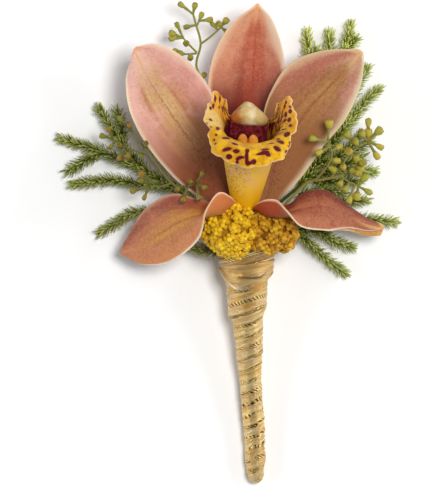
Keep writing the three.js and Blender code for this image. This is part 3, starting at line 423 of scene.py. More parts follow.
# %% Petal finish
def petal_finish(name, along, band, vein, flanks, tip, margins, rise, seed, crisp=(0.12, 0.12), flap=0.0):
    """Three colours along the blade come first: rise gives where the second starts and where it is full.
    Over them lie the flanks, the band beside the midrib, veins, freckles, the midrib and the tip. A margin
    has a colour, a width below and one above the middle, and a strength, and crisp is the share of the thin
    pale line at its very edge. flap is 1 where the second margin's tip folds over and shows its back."""
    f = Finish(name, Specular_IOR_Level=0.3)
    u, v, face, _ = f.where()
    off = abs(v)
    soft = f.noise(2.0, f.vector(v * 1.3, u * 2.2, face * 3.0 + seed), detail=3.0)
    clouds = f.noise(260.0, detail=3.0, roughness=0.6)
    bands = f.noise(1.0, f.vector(v * 5.5, u * 1.3, face + seed), detail=2.0)
    veins = f.noise(1.0, f.vector(v * 30.0, u * 5.0, face + seed), detail=3.0, roughness=0.7)
    fine = f.noise(1500.0, detail=3.0, roughness=0.8)
    dots = f.noise(1.0, f.vector(v * 26.0, u * 60.0, face + seed), detail=1.0)
    below_tip = u.step(0.95, 0.55)

    # From base to tip, then the flanks, then the band beside the midrib.
    colour = f.mix((u + (soft - 0.5) * 0.25).step(*rise), along[0], along[1])
    colour = f.mix((u + (soft - 0.5) * 0.3).step(rise[1], 0.9), colour, along[2])
    for flank, sign in zip(flanks, (-1, 1)):
        side = (v * sign + (soft - 0.5) * 0.5 + (clouds - 0.5) * 0.5).step(0.1, 0.8)
        colour = f.mix(side * u.step(*rise) * 0.9, colour, flank)
    middle = (off + (bands - 0.5) * 0.8 + (clouds - 0.5) * 0.4).step(0.55, -0.05)
    colour = f.mix(middle * u.step(1.0, 0.6) * u.step(rise[0] * 0.5, rise[1]) * 0.9, colour, band)

    # Broad streaks, fine veins, blotches and pale speckles.
    streak = (bands + (veins - 0.5) * 0.7 + off * -0.15).step(0.5, 0.68)
    colour = f.mix(streak * below_tip * 0.35, colour, vein)
    hair = (veins + (fine - 0.5) * 0.9 + off * -0.2).step(0.5, 0.68)
    colour = f.mix(hair * below_tip * 0.3, colour, vein)
    blotch = (clouds + (fine - 0.5) * 0.5).step(0.48, 0.7)
    colour = f.mix(blotch * u.step(*rise) * 0.4, colour, flanks[0])
    colour = f.mix(fine.step(0.5, 0.66) * 0.2, colour, vein)
    colour = f.mix(fine.step(0.52, 0.36) * u.step(0.35, 0.65) * 0.16, colour, margins[0][0])

    # The dotted midrib, the freckles near the base, and the tip.
    centre = (off + (veins - 0.5) * 0.1).step(0.06, 0.01) * ((dots + fine * 0.4).step(0.5, 0.8) * 0.5 + 0.15)
    colour = f.mix(centre * u.step(0.9, 0.6), colour, vein)
    freckles = (dots + (fine - 0.5) * 0.5).step(0.56, 0.66) * (off * 0.6 + u).step(0.62, 0.25)
    colour = f.mix(freckles * 0.6, colour, "#5c1f16")
    ridge = (u + (soft - 0.5) * 0.1).step(0.76, 0.96) * (off + (fine - 0.5) * 0.1).step(0.22, 0.03)
    colour = f.mix((ridge * 0.6).most((u + off * 0.04).step(0.965, 1.0) * 0.7), colour, tip)

    # The folded corner, with a painted highlight along the crest of its fold.
    folded = v + u * 3.2 + (soft - 0.5) * 0.15
    back = f.mix(fine.step(0.3, 0.7), "#c07a30", "#e8b254")
    colour = f.mix(folded.step(3.26, 3.4) * flap, colour, back)
    crest_highlight = folded.step(3.1, 3.24) * folded.step(3.36, 3.26) * flap
    colour = f.mix(crest_highlight * 0.8, colour, "#f0c4ac")

    # The pale margins.
    for (pale, low, high, strength), line, sign in zip(margins, crisp, (-1, 1)):
        inside = 1 - v * sign + (soft - 0.5) * low + (fine - 0.5) * 0.04
        edge = (inside * (u.step(0.45, 0.7) * (1 / high - 1 / low) + 1 / low)).step(1.3, 0.1)
        colour = f.mix(edge * u.step(0.03, 0.15) * (soft * 0.8 + 0.5).least(1.0) * strength, colour, pale)
        colour = f.mix(inside.step(0.07, 0.02) * u.step(0.4, 0.65) * line, colour, "#fff0dc")
    relief = veins * below_tip * 0.6 + fine * 0.25 + crest_highlight * 5.0
    return f.paint(colour, fine * 0.2 + 0.45, relief, 0.06)


# %% The five blades
PETALS = {
    "petal_left": dict(
        along=("#8a5036", "#b4724a", "#ebbfa9"), band="#d4b07c", vein="#9a5a3e", tip="#e09a68",
        flanks=("#e8b4a8", "#d1948a"), rise=(0.18, 0.56), crisp=(0.3, 0.15), phase=0.6, seed=1.0,
        margins=(("#e6d6b0", 0.09, 0.09, 0.8), ("#e4ccb0", 0.06, 0.16, 0.7))),
    "petal_right": dict(
        along=("#92623e", "#8c5a38", "#cc9c7c"), band="#b0824c", vein="#864030", tip="#e1b97e",
        flanks=("#b0685a", "#c89480"), rise=(0.42, 0.7), phase=2.1, seed=5.0,
        margins=(("#d4bc90", 0.05, 0.22, 0.7), ("#dccaa8", 0.2, 0.28, 0.9))),
    # The dorsal sepal's deep red base, which runs far up the blade, is partly its own colour and partly
    # painted shade beneath the lip.
    "dorsal_sepal": dict(
        along=("#6a221a", "#bc644c", "#eaa478"), band="#c0624a", vein="#9a4230", tip="#ecae7c",
        flanks=("#dc9c7a", "#d68e70"), rise=(0.38, 0.74), phase=1.2, seed=9.0,
        margins=(("#e6c8a4", 0.08, 0.2, 0.7), ("#ecd2b4", 0.1, 0.5, 0.9))),
    "lateral_sepal_left": dict(
        along=("#c87640", "#a5643c", "#ba7055"), band="#c88c38", vein="#9a553a", tip="#c98a64",
        flanks=("#cc8555", "#8b4234"), rise=(0.3, 0.5), crisp=(0.7, 0.1), phase=0.2, seed=13.0,
        margins=(("#e2c6a6", 0.06, 0.1, 0.9), ("#cda288", 0.08, 0.14, 0.6))),
    # The right lateral sepal's deep red base and upper flank are partly its own colour and partly painted
    # shade, in its hood and under its fold.
    "lateral_sepal_right": dict(
        along=("#a84224", "#8c4830", "#a6644b"), band="#a45f41", vein="#7a3224", tip="#e6c074",
        flanks=("#733027", "#b16b49"), rise=(0.36, 0.5), crisp=(0.1, 0.55), flap=1.0, phase=3.0, seed=17.0,
        margins=(("#c8a084", 0.06, 0.1, 0.6), ("#e8caa6", 0.07, 0.08, 0.95))),
}
# Small nicks in two margins: the margin's side, how far up, half its length and its depth.
NICKS = {"petal_left": (-1, 0.87, 0.022, 0.16), "lateral_sepal_left": (-1, 0.965, 0.02, 0.3)}
for node, look in PETALS.items():
    phase = look.pop("phase")
    finish = petal_finish(f"{node} finish", **look)
    surface = blade(BLADES[node], phase=phase, nick=NICKS.get(node))
    make_piece(f"fine_{node}", node, finish, [surface])

# %% [markdown]
# ## The bloom's own frame
# Lip and column grow out along the bloom's axis, which rises 40 degrees from the table. Their shapes are
# simplest in that frame: a distance out along the axis, one to the right, and one up towards the dorsal
# sepal.

# %% Bloom frame
BLOOM_BASE = np.array([4.4, 8.9, 13.5])
TILT, LEAN = math.radians(40), math.radians(4)
AXIS = np.array([math.cos(TILT) * math.sin(LEAN), math.cos(TILT) * math.cos(LEAN), math.sin(TILT)])
SIDE = np.array([math.cos(LEAN), -math.sin(LEAN), 0.0])
UP = np.cross(AXIS, SIDE)


def in_bloom(out, side, up):
    """The base, plus each distance along its own direction."""
    out, side, up = (np.asarray(x, float)[..., None] for x in np.broadcast_arrays(out, side, up))
    return BLOOM_BASE + out * AXIS + side * SIDE + up * UP


# %% [markdown]
# ## The lip
# The third petal is a trough that holds the column. At its mouth it turns out into three lobes: the middle
# one curls right back, and the two side lobes stand up beside the column. The turn is an arc whose radius
# is the lobe's length divided by the angle that it turns through, so a lobe keeps its length however far it
# curls.

# %% Lip surface
LIP_TUBE_LENGTH, LIP_BASE_RADIUS, LIP_MOUTH_RADIUS, LIP_THICKNESS = 25, 2.5, 7.2, 0.9
LIP_TUBE_SHARE = 0.55  # of u: the trough comes first, and then the lobes
BASE_WRAP, MOUTH_WRAP = 75, 126  # degrees that each half of the trough goes round the axis
# From the middle of the lip (0) to its margin (1): how long the lobes are, and how far in radians they turn.
LOBE_LENGTHS = [[0, 12.5], [0.25, 11.6], [0.42, 8.6], [0.5, 8], [0.62, 9.6], [0.84, 11.4], [1, 7]]
TURNS_LEFT = [[0, 2.8], [0.3, 2.5], [0.5, 1.5], [0.7, 0.8], [1, 0.3]]
TURNS_RIGHT = [[0, 2.8], [0.3, 2.5], [0.5, 1.6], [0.7, 0.75], [1, 0.25]]


def lip_tube_radius(share):
    """From the base's radius to the mouth's, by the share of the tube's length to the power 0.8."""
    return LIP_BASE_RADIUS + (LIP_MOUTH_RADIUS - LIP_BASE_RADIUS) * share ** 0.8


def lip_surface(u, v):
    """Out along the axis by the tube's share of its length, plus L/T sin(T s) on a lobe of length L that
    turns through T; away from the axis by the tube's radius, plus L/T (1 - cos(T s)) and a ruffle at the
    rim. The trough's margins wrap 16 degrees further round just behind the mouth, close to the column."""
    side = np.abs(v)
    tube_share = np.minimum(u / LIP_TUBE_SHARE, 1)
    s = np.maximum(u - LIP_TUBE_SHARE, 0) / (1 - LIP_TUBE_SHARE)
    wrap = smoothstep(tube_share, 0.4, 0.85) * (1 - smoothstep(s, 0, 0.4))
    angle = v * np.radians(BASE_WRAP + (MOUTH_WRAP - BASE_WRAP) * smoothstep(tube_share, 0, 1) + 16 * wrap)
    length = eased(LOBE_LENGTHS, side)
    turn = np.where(v > 0, eased(TURNS_RIGHT, side), eased(TURNS_LEFT, side))
    ruffle = s ** 2 * smoothstep(side, 0.4, 0.6) * 0.5 * np.sin(21 * side + 1)
    ruffle = ruffle + (0.26 * np.sin(46 * v + 2) + 0.14 * np.sin(97 * v)) * s**3
    out = LIP_TUBE_LENGTH * tube_share + length / turn * np.sin(turn * s)
    radius = lip_tube_radius(tube_share) + length / turn * (1 - np.cos(turn * s)) + ruffle
    return in_bloom(out, radius * np.sin(angle), -radius * np.cos(angle))


# %% [markdown]
# ## The lip's spots
# The spots are few, large and sharp, so noise would not give them. They are placed one by one, where the
# camera sees them. Each is an ellipse on the lip's own surface, and each point of the lip keeps its
# distance from the nearest one. A distance blends evenly from point to point, which keeps the edges sharp
# between the points of the mesh.

# %% Spots
# x and y seen from above, half length and half width in millimetres, and the long side's angle in degrees.
SPOTS = [
    [-3.2, 37.0, 0.75, 0.24, 82], [-2.0, 37.0, 0.9, 0.21, 84], [-4.5, 35.8, 0.32, 0.24, 0],
    [-4.4, 34.3, 0.3, 0.3, 0], [-3.8, 34.8, 0.55, 0.24, 80], [-2.3, 34.6, 0.28, 0.2, 90],
    [-1.6, 38.7, 0.2, 0.16, 0], [-1.0, 38.1, 0.2, 0.18, 0], [-0.7, 37.4, 0.2, 0.16, 0],
    [-0.5, 36.5, 0.22, 0.16, 90], [-1.0, 35.7, 0.22, 0.16, 80], [-1.2, 34.8, 0.3, 0.16, 85],
    [-1.5, 33.9, 0.3, 0.16, 80], [-4.5, 31.2, 0.35, 0.2, -20], [-4.8, 29.2, 0.4, 0.26, -20],
    [-5.5, 30.2, 0.2, 0.14, 0], [-2.5, 29.0, 0.62, 0.34, 45], [-2.9, 27.4, 0.28, 0.26, 0],
    [-3.2, 26.0, 0.2, 0.2, 0], [-3.0, 25.1, 0.24, 0.22, 0], [-0.5, 26.5, 0.82, 0.66, 35],
    [-0.1, 23.7, 0.96, 0.44, 8], [0.6, 21.9, 0.66, 0.54, 0], [1.9, 24.9, 0.62, 0.3, -45],
    [2.4, 23.1, 0.68, 0.44, 5], [2.9, 21.5, 0.83, 0.36, 10], [2.7, 20.4, 0.58, 0.4, 80],
    [5.0, 21.6, 1.95, 0.34, 90], [5.0, 20.2, 0.5, 0.5, 0], [5.0, 23.2, 0.5, 0.42, 90],
    [6.7, 20.4, 0.68, 0.54, 10], [9.2, 22.8, 1.1, 0.44, 15], [10.1, 22.3, 0.55, 0.45, 0],
    [8.3, 22.5, 0.65, 0.18, 10], [9.6, 23.6, 0.62, 0.16, 15], [12.5, 23.9, 0.85, 0.54, -45],
    [13.5, 25.5, 0.85, 0.58, -10], [13.0, 26.3, 0.4, 0.3, 0], [12.3, 27.2, 0.8, 0.32, 20],
    [15.1, 27.5, 0.82, 0.6, 80], [16.1, 25.6, 0.42, 0.3, 10], [15.9, 24.6, 0.4, 0.24, 20],
    [15.0, 23.0, 0.42, 0.3, 30], [10.6, 26.6, 0.42, 0.16, 20], [11.3, 25.1, 0.34, 0.14, 20],
    [13.9, 37.8, 0.22, 0.15, 0], [15.1, 37.4, 0.2, 0.15, 0], [14.1, 36.9, 0.27, 0.25, 0],
    [15.1, 35.9, 0.3, 0.25, 60], [14.8, 34.8, 0.5, 0.28, 75], [16.1, 34.8, 0.3, 0.26, 0],
    [16.1, 33.5, 0.44, 0.42, 0], [15.0, 32.8, 0.55, 0.42, 70], [15.9, 31.5, 0.52, 0.46, 20],
    [14.9, 31.2, 0.4, 0.3, 0], [13.1, 36.3, 0.55, 0.2, 80], [13.6, 35.0, 0.5, 0.2, 80],
    [13.1, 33.9, 0.7, 0.22, 85], [14.2, 33.1, 0.5, 0.22, 80], [14.0, 31.5, 0.6, 0.24, 75],
    [16.2, 30.0, 0.35, 0.25, 0],
]
print(len(SPOTS), "spots")


def spot_distance(places):
    """Each spot lies on the highest point of the surface near its x and y. Its long side's angle is turned
    in the surface's own slope there. The distance is the length of the offset with each part divided by the
    half size in its direction, less 1, times the shorter half size: negative inside, and the least one
    counts."""
    x, y, long, short, turn = np.array(SPOTS, float).T
    flat = places.reshape(-1, 3)
    off = np.hypot(flat[:, 0] - x[:, None], flat[:, 1] - y[:, None])
    highest = np.argmin(np.maximum(off - 0.2, 0) * 20 - flat[:, 2], axis=1)
    normal = unit(np.cross(np.gradient(places, axis=1), np.gradient(places, axis=0))).reshape(-1, 3)[highest]
    turn = np.radians(turn)
    ahead = np.stack([np.cos(turn), np.sin(turn), 0 * turn], -1)
    ahead = unit(ahead - normal * (ahead * normal).sum(-1, keepdims=True))
    across = np.cross(normal, ahead)
    offset = flat[:, None] - flat[highest]
    sizes = ((ahead, long), (across, short), (normal, short))
    parts = [(offset * way).sum(-1) / half for way, half in sizes]
    return ((np.sqrt(sum(part**2 for part in parts)) - 1) * short).min(axis=-1).reshape(places.shape[:2])


# %% The lip's grid
# The rows stand closer together towards the rim, where the spots and the ruffles are.
LIP_ROWS, LIP_COLUMNS = 190, 231
lip_u = (1 - (1 - np.linspace(0, 1, LIP_ROWS)) ** 1.4)[:, None]
lip_v = across_places(LIP_COLUMNS)[None, :]
lip_middle = lip_surface(lip_u, lip_v)
lip_rim = np.sqrt(np.clip(1 - np.abs(lip_v) ** 24, 0, 1)) * np.sqrt(np.clip(1 - lip_u**40, 0, 1))
lip_thickness = LIP_THICKNESS * (1 - 0.2 * lip_v**2) * np.maximum(lip_rim, 0.15)
lip_parts = [shell(lip_middle, lip_thickness, spot_distance(lip_middle), facing=-1, u=lip_u)]
print("lip grid:", lip_middle.shape[:2])


# %% Lip finish
def lip_finish():
    """The inner face is golden yellow with maroon spots, striped in the throat and on the side walls, and
    pale at the rim. The outer face is golden at its base, and paler, pinker and freckled higher up."""
    f = Finish("lip finish", Roughness=0.45, Specular_IOR_Level=0.35)
    u, v, face, spot = f.where()
    off = abs(v)
    soft = f.noise(320.0, detail=2.0)
    fine = f.noise(1400.0, detail=3.0, roughness=0.7)
    grain = f.noise(1.0, f.vector(v * 36.0, u * 8.0), detail=1.0)
    # Inside: gold, more orange on the side lobes, with a pale patch on the left one, and a brown grain.
    inner = f.mix(soft.step(0.35, 0.65), "#c68c10", "#e4b41e")
    inner = f.mix(off.step(0.5, 0.75) * (soft + 0.2), inner, "#e09a28")
    patch = v + fine * 0.1
    inner = f.mix(patch.step(-0.42, -0.5) * patch.step(-0.68, -0.6), inner, "#d6b466")
    inner = f.mix(fine.step(0.5, 0.64) * 0.45, inner, "#a85a1c")
    # Stripes low on both side lobes, the dark throat, and the spots with their soft brown edges.
    right = (u + v * 0.1).step(0.97, 0.86) * v.step(0.4, 0.55)
    left = u.step(0.85, 0.78) * v.step(-0.66, -0.8)
    inner = f.mix(grain.step(0.46, 0.52) * u.step(0.3, 0.4) * right.most(left), inner, "#5c0f1c")
    throat = (u + v.step(0.35, 0.75) * 0.24 + (fine - 0.5) * 0.06).step(0.6, 0.53)
    inner = f.mix(throat, inner, "#4c1219")
    edge = spot + (fine - 0.5) * 0.35 + (soft - 0.5) * 0.12
    inner = f.mix(edge.step(0.5, 0.1) * 0.35, inner, "#a04a1c")
    inner = f.mix(edge.step(0.2, 0.06) * u.step(0.5, 0.56), inner, "#570a1c")
    # Outside, and the pale rim of both.
    outer = f.mix(u.step(0.1, 0.4), "#f0b410", "#ecbc44")
    outer = f.mix(soft.step(0.35, 0.7) * u.step(0.15, 0.4) * 0.55, outer, "#dfa586")
    outer = f.mix(fine.step(0.54, 0.62) * (v * -1.0 + u * 0.8).step(0.0, 0.5) * 0.7, outer, "#9a4c20")
    colour = f.mix(face.step(0.45, 0.55), outer, inner)
    rim = ((u + fine * 0.03).step(0.992, 1.01) + off.step(0.985, 0.995) * u.step(0.5, 0.6)).least(1.0)
    colour = f.mix(rim * 0.6, colour, "#e8c48c")
    return f.paint(colour, None, soft * 0.5 + grain * 0.3, 0.15)


make_piece("fine_lip", "lip", lip_finish(), lip_parts)

# %% [markdown]
# ## Callus, column and anther cap
# In the mouth of the lip stand two fleshy orange ridges. The column arches over them. It is hollowed below
# and dark maroon there, widens into two wings, and ends in the cream anther cap, a rounded triangle.

# %% Callus
KEEL_OUT = np.array([13, 18, 22.5, 26.9])
KEEL_UP = np.array([-4.2, -4.2, -4.0, -3.5])


def keel(side):
    """A ridge on each side of the middle, with an upright oval section that swells to a blunt front end. It
    leans 0.4 mm to the left over the 26 mm of the lip."""
    t = np.linspace(0, 1, 40)
    line, _ = even_curve(in_bloom(KEEL_OUT, side * 1.36 - 0.4 * KEEL_OUT / 26, KEEL_UP), t)
    blunt = np.sqrt(np.clip(1 - t**12, 0.02, 1))
    wide, high = (0.9 + 0.72 * t) * blunt, (1.2 + 1.5 * t**1.5) * blunt
    angle = np.linspace(0, 2 * np.pi, 24, endpoint=False)[None, :, None]
    wide, high = wide[:, None, None], high[:, None, None]
    ring = line[:, None] + wide * np.cos(angle) * SIDE + high * np.sin(angle) * UP
    notes = np.zeros((1, 40, 24, 4)) + t[None, :, None, None]
    return outwards(loft(ring[None], notes))


def fleshy_finish(name, light, dark, fleck, amount, scale=900.0):
    """Two tones in soft patches, with small flecks over them."""
    f = Finish(name, Roughness=0.4, Coat_Weight=0.2, Coat_Roughness=0.3)
    patches, flecks = f.noise(300.0, detail=2.0), f.noise(scale, detail=2.0, roughness=0.6)
    colour = f.mix(patches.step(0.35, 0.65), light, dark)
    colour = f.mix(flecks.step(0.52, 0.62) * amount, colour, fleck)
    return f.paint(colour, None, flecks, 0.15)


make_piece("fine_lip_callus", "lip_callus", fleshy_finish(
    "callus finish", "#e29a2c", "#cf7c1e", "#8a2f1c", 0.25), [keel(-1), keel(1)])

# %% Column
COLUMN_ARCH = np.array([[2, 0.6], [9, 1.6], [17, 2.9], [25.6, 4.4]])  # out along the axis, and up


def column():
    """An oval section that widens to 10 mm across the wings, along the arch, which leans 0.5 mm to the left.
    Its lower half is pushed in by 0.9 of the half height times the square of the sine: that hollows it."""
    t = np.linspace(0, 1, 60)
    out, up = COLUMN_ARCH.T
    line, along = even_curve(in_bloom(out, -0.5 * out / out[-1], up), t)
    back = np.cross(along, SIDE)
    wide = 1.7 + 3.3 * smoothstep(t, 0.1, 0.75)
    high = 1.7 + 1.7 * smoothstep(t, 0, 0.9)
    angle = np.linspace(0, 2 * np.pi, 56, endpoint=False)
    rise = np.sin(angle) + np.where(np.sin(angle) < 0, 0.9 * np.sin(angle) ** 2, 0)
    ring = (line[:, None] + (wide[:, None] * np.cos(angle))[..., None] * SIDE
            + (high[:, None] * rise)[..., None] * back[:, None])
    notes = np.stack(np.broadcast_arrays(t[:, None], rise[None, :], np.cos(angle)[None, :], 0.0), -1)
    return outwards(loft(ring[None], notes[None]))


def column_finish():
    """Ochre, flushed with red, on its back and wings, and maroon with purple and brown flecks below."""
    f = Finish("column finish", Roughness=0.4, Coat_Weight=0.2, Coat_Roughness=0.3)
    _, rise, _, _ = f.where()
    soft, flecks = f.noise(400.0, detail=2.0), f.noise(1000.0, detail=2.0, roughness=0.7)
    below = f.mix(flecks.step(0.4, 0.6), "#4c121c", "#88282e")
    below = f.mix(flecks.step(0.6, 0.68) * 0.45, below, "#82405a")
    back = f.mix(soft.step(0.35, 0.7), "#b5763a", "#9a4a34")
    return f.paint(f.mix((rise + (soft - 0.5) * 0.3).step(0.15, -0.05), back, below), None, flecks, 0.2)


make_piece("fine_column", "column", column_finish(), [column()])


# %% Anther cap
CAP_OUT = 25.6 + 0.9  # its middle, out along the axis


def anther_cap():
    """A sphere whose section across the axis is a rounded triangle: its radius there is the sum, over the
    three sides, of the cube of the cosine of the angle from the side's middle, to the power -1/3. It is
    3.45 mm wide, 2.8 high and 2.7 deep to each side, and a shallow furrow runs down the middle."""
    turn = np.linspace(0, 2 * np.pi, 64, endpoint=False)[None, :]
    down = np.linspace(0.03, np.pi - 0.03, 44)[:, None]
    sides = [np.maximum(np.cos(turn - middle), 0) ** 3 for middle in (np.pi, np.pi / 3, -np.pi / 3)]
    corner = sum(sides) ** (-1 / 3)
    x, y = np.sin(down) * np.sin(turn) * corner, np.sin(down) * np.cos(turn) * corner
    z = np.cos(down) + 0 * turn
    furrow = 1 - 0.1 * np.exp(-(((x - 0.1) / 0.13) ** 2)) * smoothstep(z, 0, 0.6)
    places = in_bloom(CAP_OUT + 2.7 * z * furrow, -0.6 + 3.45 * x - 0.35 * y, 5.8 + 2.8 * y)
    notes = np.stack([x, y, z, 0 * x], -1)
    return outwards(loft(places[None], notes[None]))


def cap_finish():
    """Cream, with a greenish-gold flush at its left shoulder and an orange patch low on the left."""
    f = Finish("anther cap finish", Roughness=0.42, Coat_Weight=0.25, Coat_Roughness=0.3)
    x, y, _, _ = f.where()
    soft = f.noise(420.0, detail=2.0)
    colour = f.mix((soft + abs(x - 0.15) * 0.4).step(0.3, 0.75), "#f4e4c0", "#ccb070")
    colour = f.mix((x * -1.0 + y * 0.5 + (soft - 0.5) * 0.4).step(0.3, 0.8) * 0.6, colour, "#b3a24a")
    fine = f.noise(1300.0, detail=2.0)
    patch = (x * -1.0 + y * -0.35 + (soft - 0.5) * 0.8 + (fine - 0.5) * 0.6).step(0.5, 1.3)
    colour = f.mix(patch, colour, "#a8602a")
    colour = f.mix((x + (soft - 0.5) * 0.5).step(0.75, 1.25) * 0.7, colour, "#a8824a")
    fleck = ((x + 0.72) ** 2.0 + (y + 0.15) ** 2.0).step(0.02, 0.006)
    colour = f.mix(fleck, colour, "#7a3416")
    return f.paint(colour, None, soft, 0.3)


make_piece("fine_anther_cap", "anther_cap", cap_finish(), [anther_cap()])

# %% [markdown]
# ## The handle
# Stalk, wire and tape are all inside, and the ribbon is wound over them from the top down. Every one of
# them follows the same curved line, so one function gives a point at a length down the handle, an angle
# round it and a distance from its middle.

# %% Points round the handle
HANDLE_LINE = [[5, 1, 9], [5.3, -18, 7.2], [6.2, -38, 4.3], [7, -50, 2.75], [7.5, -62.6, 2.3]]
HANDLE_LENGTH = curve_length(HANDLE_LINE)
HANDLE_RADII = [[0, 6.6], [5, 6.9], [9, 6], [12, 5.2], [18, 5], [22, 3.8], [28, 3.4], [38, 2.75], [50, 2.6],
                [58, 2.5], [62, 2], [64, 1.2]]
RIBBON_THICKNESS, WRAP_GAP, TAPE_THICKNESS = 0.65, 0.1, 0.5
STEM_RADIUS, STEM_GAP, STEM_SLOTS = 0.55, 0.45, 10
print("handle length in mm:", round(float(HANDLE_LENGTH), 1))


def handle_radius(length):
    """The outside of the wrapped handle, from the list of [length, radius]."""
    return eased(HANDLE_RADII, length)


def inside_tape(length):
    """What is left inside ribbon, gap and tape."""
    return handle_radius(length) - RIBBON_THICKNESS - WRAP_GAP - TAPE_THICKNESS


def on_handle(length, angle, radius):
    """The middle line's place at a length, straight on past its ends, plus the radius times the cosine of
    the angle to the right and its sine upwards."""
    length, angle, radius = np.broadcast_arrays(*(np.asarray(x, float) for x in (length, angle, radius)))
    t = np.clip(length / HANDLE_LENGTH, 0, 1)
    place, along = even_curve(HANDLE_LINE, t)
    up = unit(np.array([0, 0, 1.0]) - along * along[..., 2:])
    right = np.cross(up, along)
    past = (length - t * HANDLE_LENGTH)[..., None]
    return place + along * past + radius[..., None] * (
        np.cos(angle)[..., None] * right + np.sin(angle)[..., None] * up)


def slot_path(slot, cut):
    """A stem's points inside the handle, from its cut end up to the top. The stems stand in a ring against
    the tape, and slot counts tenths of a turn."""
    lengths = np.array([cut, cut * 0.6, cut * 0.25, 0])
    return on_handle(lengths, 2 * np.pi * slot / STEM_SLOTS, inside_tape(lengths) - STEM_RADIUS - STEM_GAP)


# %% [markdown]
# ## Ribbon
# A satin ribbon with a metallic braid along its edge. It is wound from the foot up in a slanting spiral,
# each turn lapping over the one below, and ends in a wider cuff at the top. It was pulled tight by hand:
# the turns are uneven and the satin is creased along the winding. The unevenness is a sum of sines with
# unrelated lengths, which never repeats and is the same every time.

# %% Unevenness and blunt end
RIBBON_PITCH, RIBBON_STEP = 3.0, 0.24  # of the spiral, and how far a turn's edge stands out
BLUNT_LENGTH, FOOT_LENGTH = 2.6, 61  # of the blunt end, and where the handle stops getting thinner


def uneven(x, start):
    """Between about -1 and 1: three sines whose periods have no common measure."""
    slow, middle = np.sin(2.31 * x + start), 0.6 * np.sin(5.17 * x + 2 * start)
    return (slow + middle + 0.4 * np.sin(11.9 * x + 3 * start)) / 2


def blunt(length):
    """1, and then down a quarter of an ellipse over the last 2.6 mm of the handle."""
    past = np.maximum(length - HANDLE_LENGTH + BLUNT_LENGTH, 0) / (BLUNT_LENGTH + 0.5)
    return np.sqrt(np.clip(1 - past**2, 0.01, 1))


def on_table(ring):
    """The same points, but none below the table."""
    ring[..., 2] = np.maximum(ring[..., 2], 0)
    return ring


# %% Ribbon
def ribbon():
    """Stations round the spiral and places w across it. Length is pitch (turns + w), less a slant that is
    higher on the right. Radius is the handle's, plus the step times w, creases, and the braid. The top turns
    are wider, most of all on the right, where they lie on the yarrow's stems."""
    turns = HANDLE_LENGTH / RIBBON_PITCH + 1.6
    s = np.linspace(-0.6, turns - 1.0, int(turns * 80))[:, None]
    w = np.array([[0, 0.05, 0.14, 0.24, 0.34, 0.44, 0.54, 0.64, 0.74, 0.82, 0.88, 0.94, 1.0, 1.08, 1.14]])
    angle = 2 * np.pi * s
    edge = 0.16 * uneven(s * 2.7, 1.0)
    length = RIBBON_PITCH * (s + w + edge * w)
    reach = handle_radius(np.clip(length, 0, FOOT_LENGTH)) + 0.5 * (1 - smoothstep(length, 3.5, 6.8))
    reach = reach + 0.6 * smoothstep(np.cos(angle), 0.3, 0.9) * (1 - smoothstep(length, 5.5, 8.0))
    crease = 0.16 * np.sin(2 * np.pi * (2.9 * w + 0.7 * uneven(s * 1.9, 2.0)))
    crease = crease * (1 - w**4) * (0.7 + uneven(s * 7, 4))
    braid = smoothstep(w, 0.84, 0.9) * (0.05 + 0.02 * np.sin(2 * np.pi * 26 * s + 6 * w))
    lift = RIBBON_STEP * np.clip(0.5 + 0.6 * uneven(s * 3.1, 7), 0.15, 1)
    outer = (reach + lift * (0.3 + 0.75 * w) + crease + braid + 0.1 * uneven(s * 5, 5.0)) * blunt(length)
    inner = np.minimum(outer - 0.25, reach * blunt(length) - 0.25)
    slant = 0.2 * np.cos(angle) * reach * smoothstep(HANDLE_LENGTH - length, 1, 9)
    at = np.clip(length - slant, -4, HANDLE_LENGTH + 0.2)
    ring = np.concatenate([on_handle(at, angle, outer), on_handle(at, angle, inner)[:, ::-1]], axis=1)
    notes = np.stack(np.broadcast_arrays(s, w, reach, 0.0), -1)
    return outwards(loft(on_table(ring)[None], np.concatenate([notes, notes[:, ::-1]], axis=1)[None]))


# %% Cuff
def doughnut(ring, notes):
    """A surface (n, m, 3) that closes on itself both ways."""
    rows, sides = ring.shape[:2]
    i, j = np.meshgrid(np.arange(rows), np.arange(sides), indexing="ij")
    a, b = i * sides + j, i * sides + (j + 1) % sides
    c, d = (i + 1) % rows * sides + (j + 1) % sides, (i + 1) % rows * sides + j
    faces = np.stack([a, b, c, a, c, d], -1).reshape(-1, 3)
    return outwards((ring.reshape(-1, 3), faces, np.broadcast_to(notes, (rows, sides, 4)).reshape(-1, 4)))


def cuff_creases(w, angle, face):
    """Creases of the cuff, as heights in millimetres: fine ones that run round, a deep one in front with a
    ridge above it and a hollow below, and a third one lower down. The second thing given is how much
    shade is painted along the deep one, a bell across it."""
    across = np.cos(angle)
    front = (face > 0) * smoothstep(np.sin(angle), 0, 0.3)
    fine = 0.13 * np.sin(2 * np.pi * (1.6 * w + 0.3 * np.sin(angle + 1)))
    fine = fine * (1 - w**6) * (face > 0) * smoothstep(w, 0, 0.2)
    line = w - 0.5 - 0.1 * across
    over = 0.45 * smoothstep(line, -0.35, -0.02) * (1 - smoothstep(line, -0.02, 0.02))
    under = 0.3 * smoothstep(line, -0.02, 0.02) * (1 - smoothstep(line, 0.02, 0.3))
    window = smoothstep(across, -0.45, -0.1) * (1 - smoothstep(across, 0.55, 0.85)) * front
    lower = line - 0.26 + 0.12 * np.sin(1.7 * angle)
    third = 0.3 * smoothstep(lower, -0.2, -0.01) * (1 - smoothstep(lower, -0.01, 0.05)) * front
    heights = fine, window * (over - under) + third * (1 - smoothstep(across, 0.6, 0.9))
    return heights, window * np.exp(-(((line - 0.02) / 0.045) ** 2))


# Where the cuff's edges are in front, in millimetres down the handle, and how far the lower one climbs.
CUFF_TOP, CUFF_BOTTOM, CLIMB_LEFT, CLIMB_RIGHT = 6.1, 12.9, 5.0, 4.0


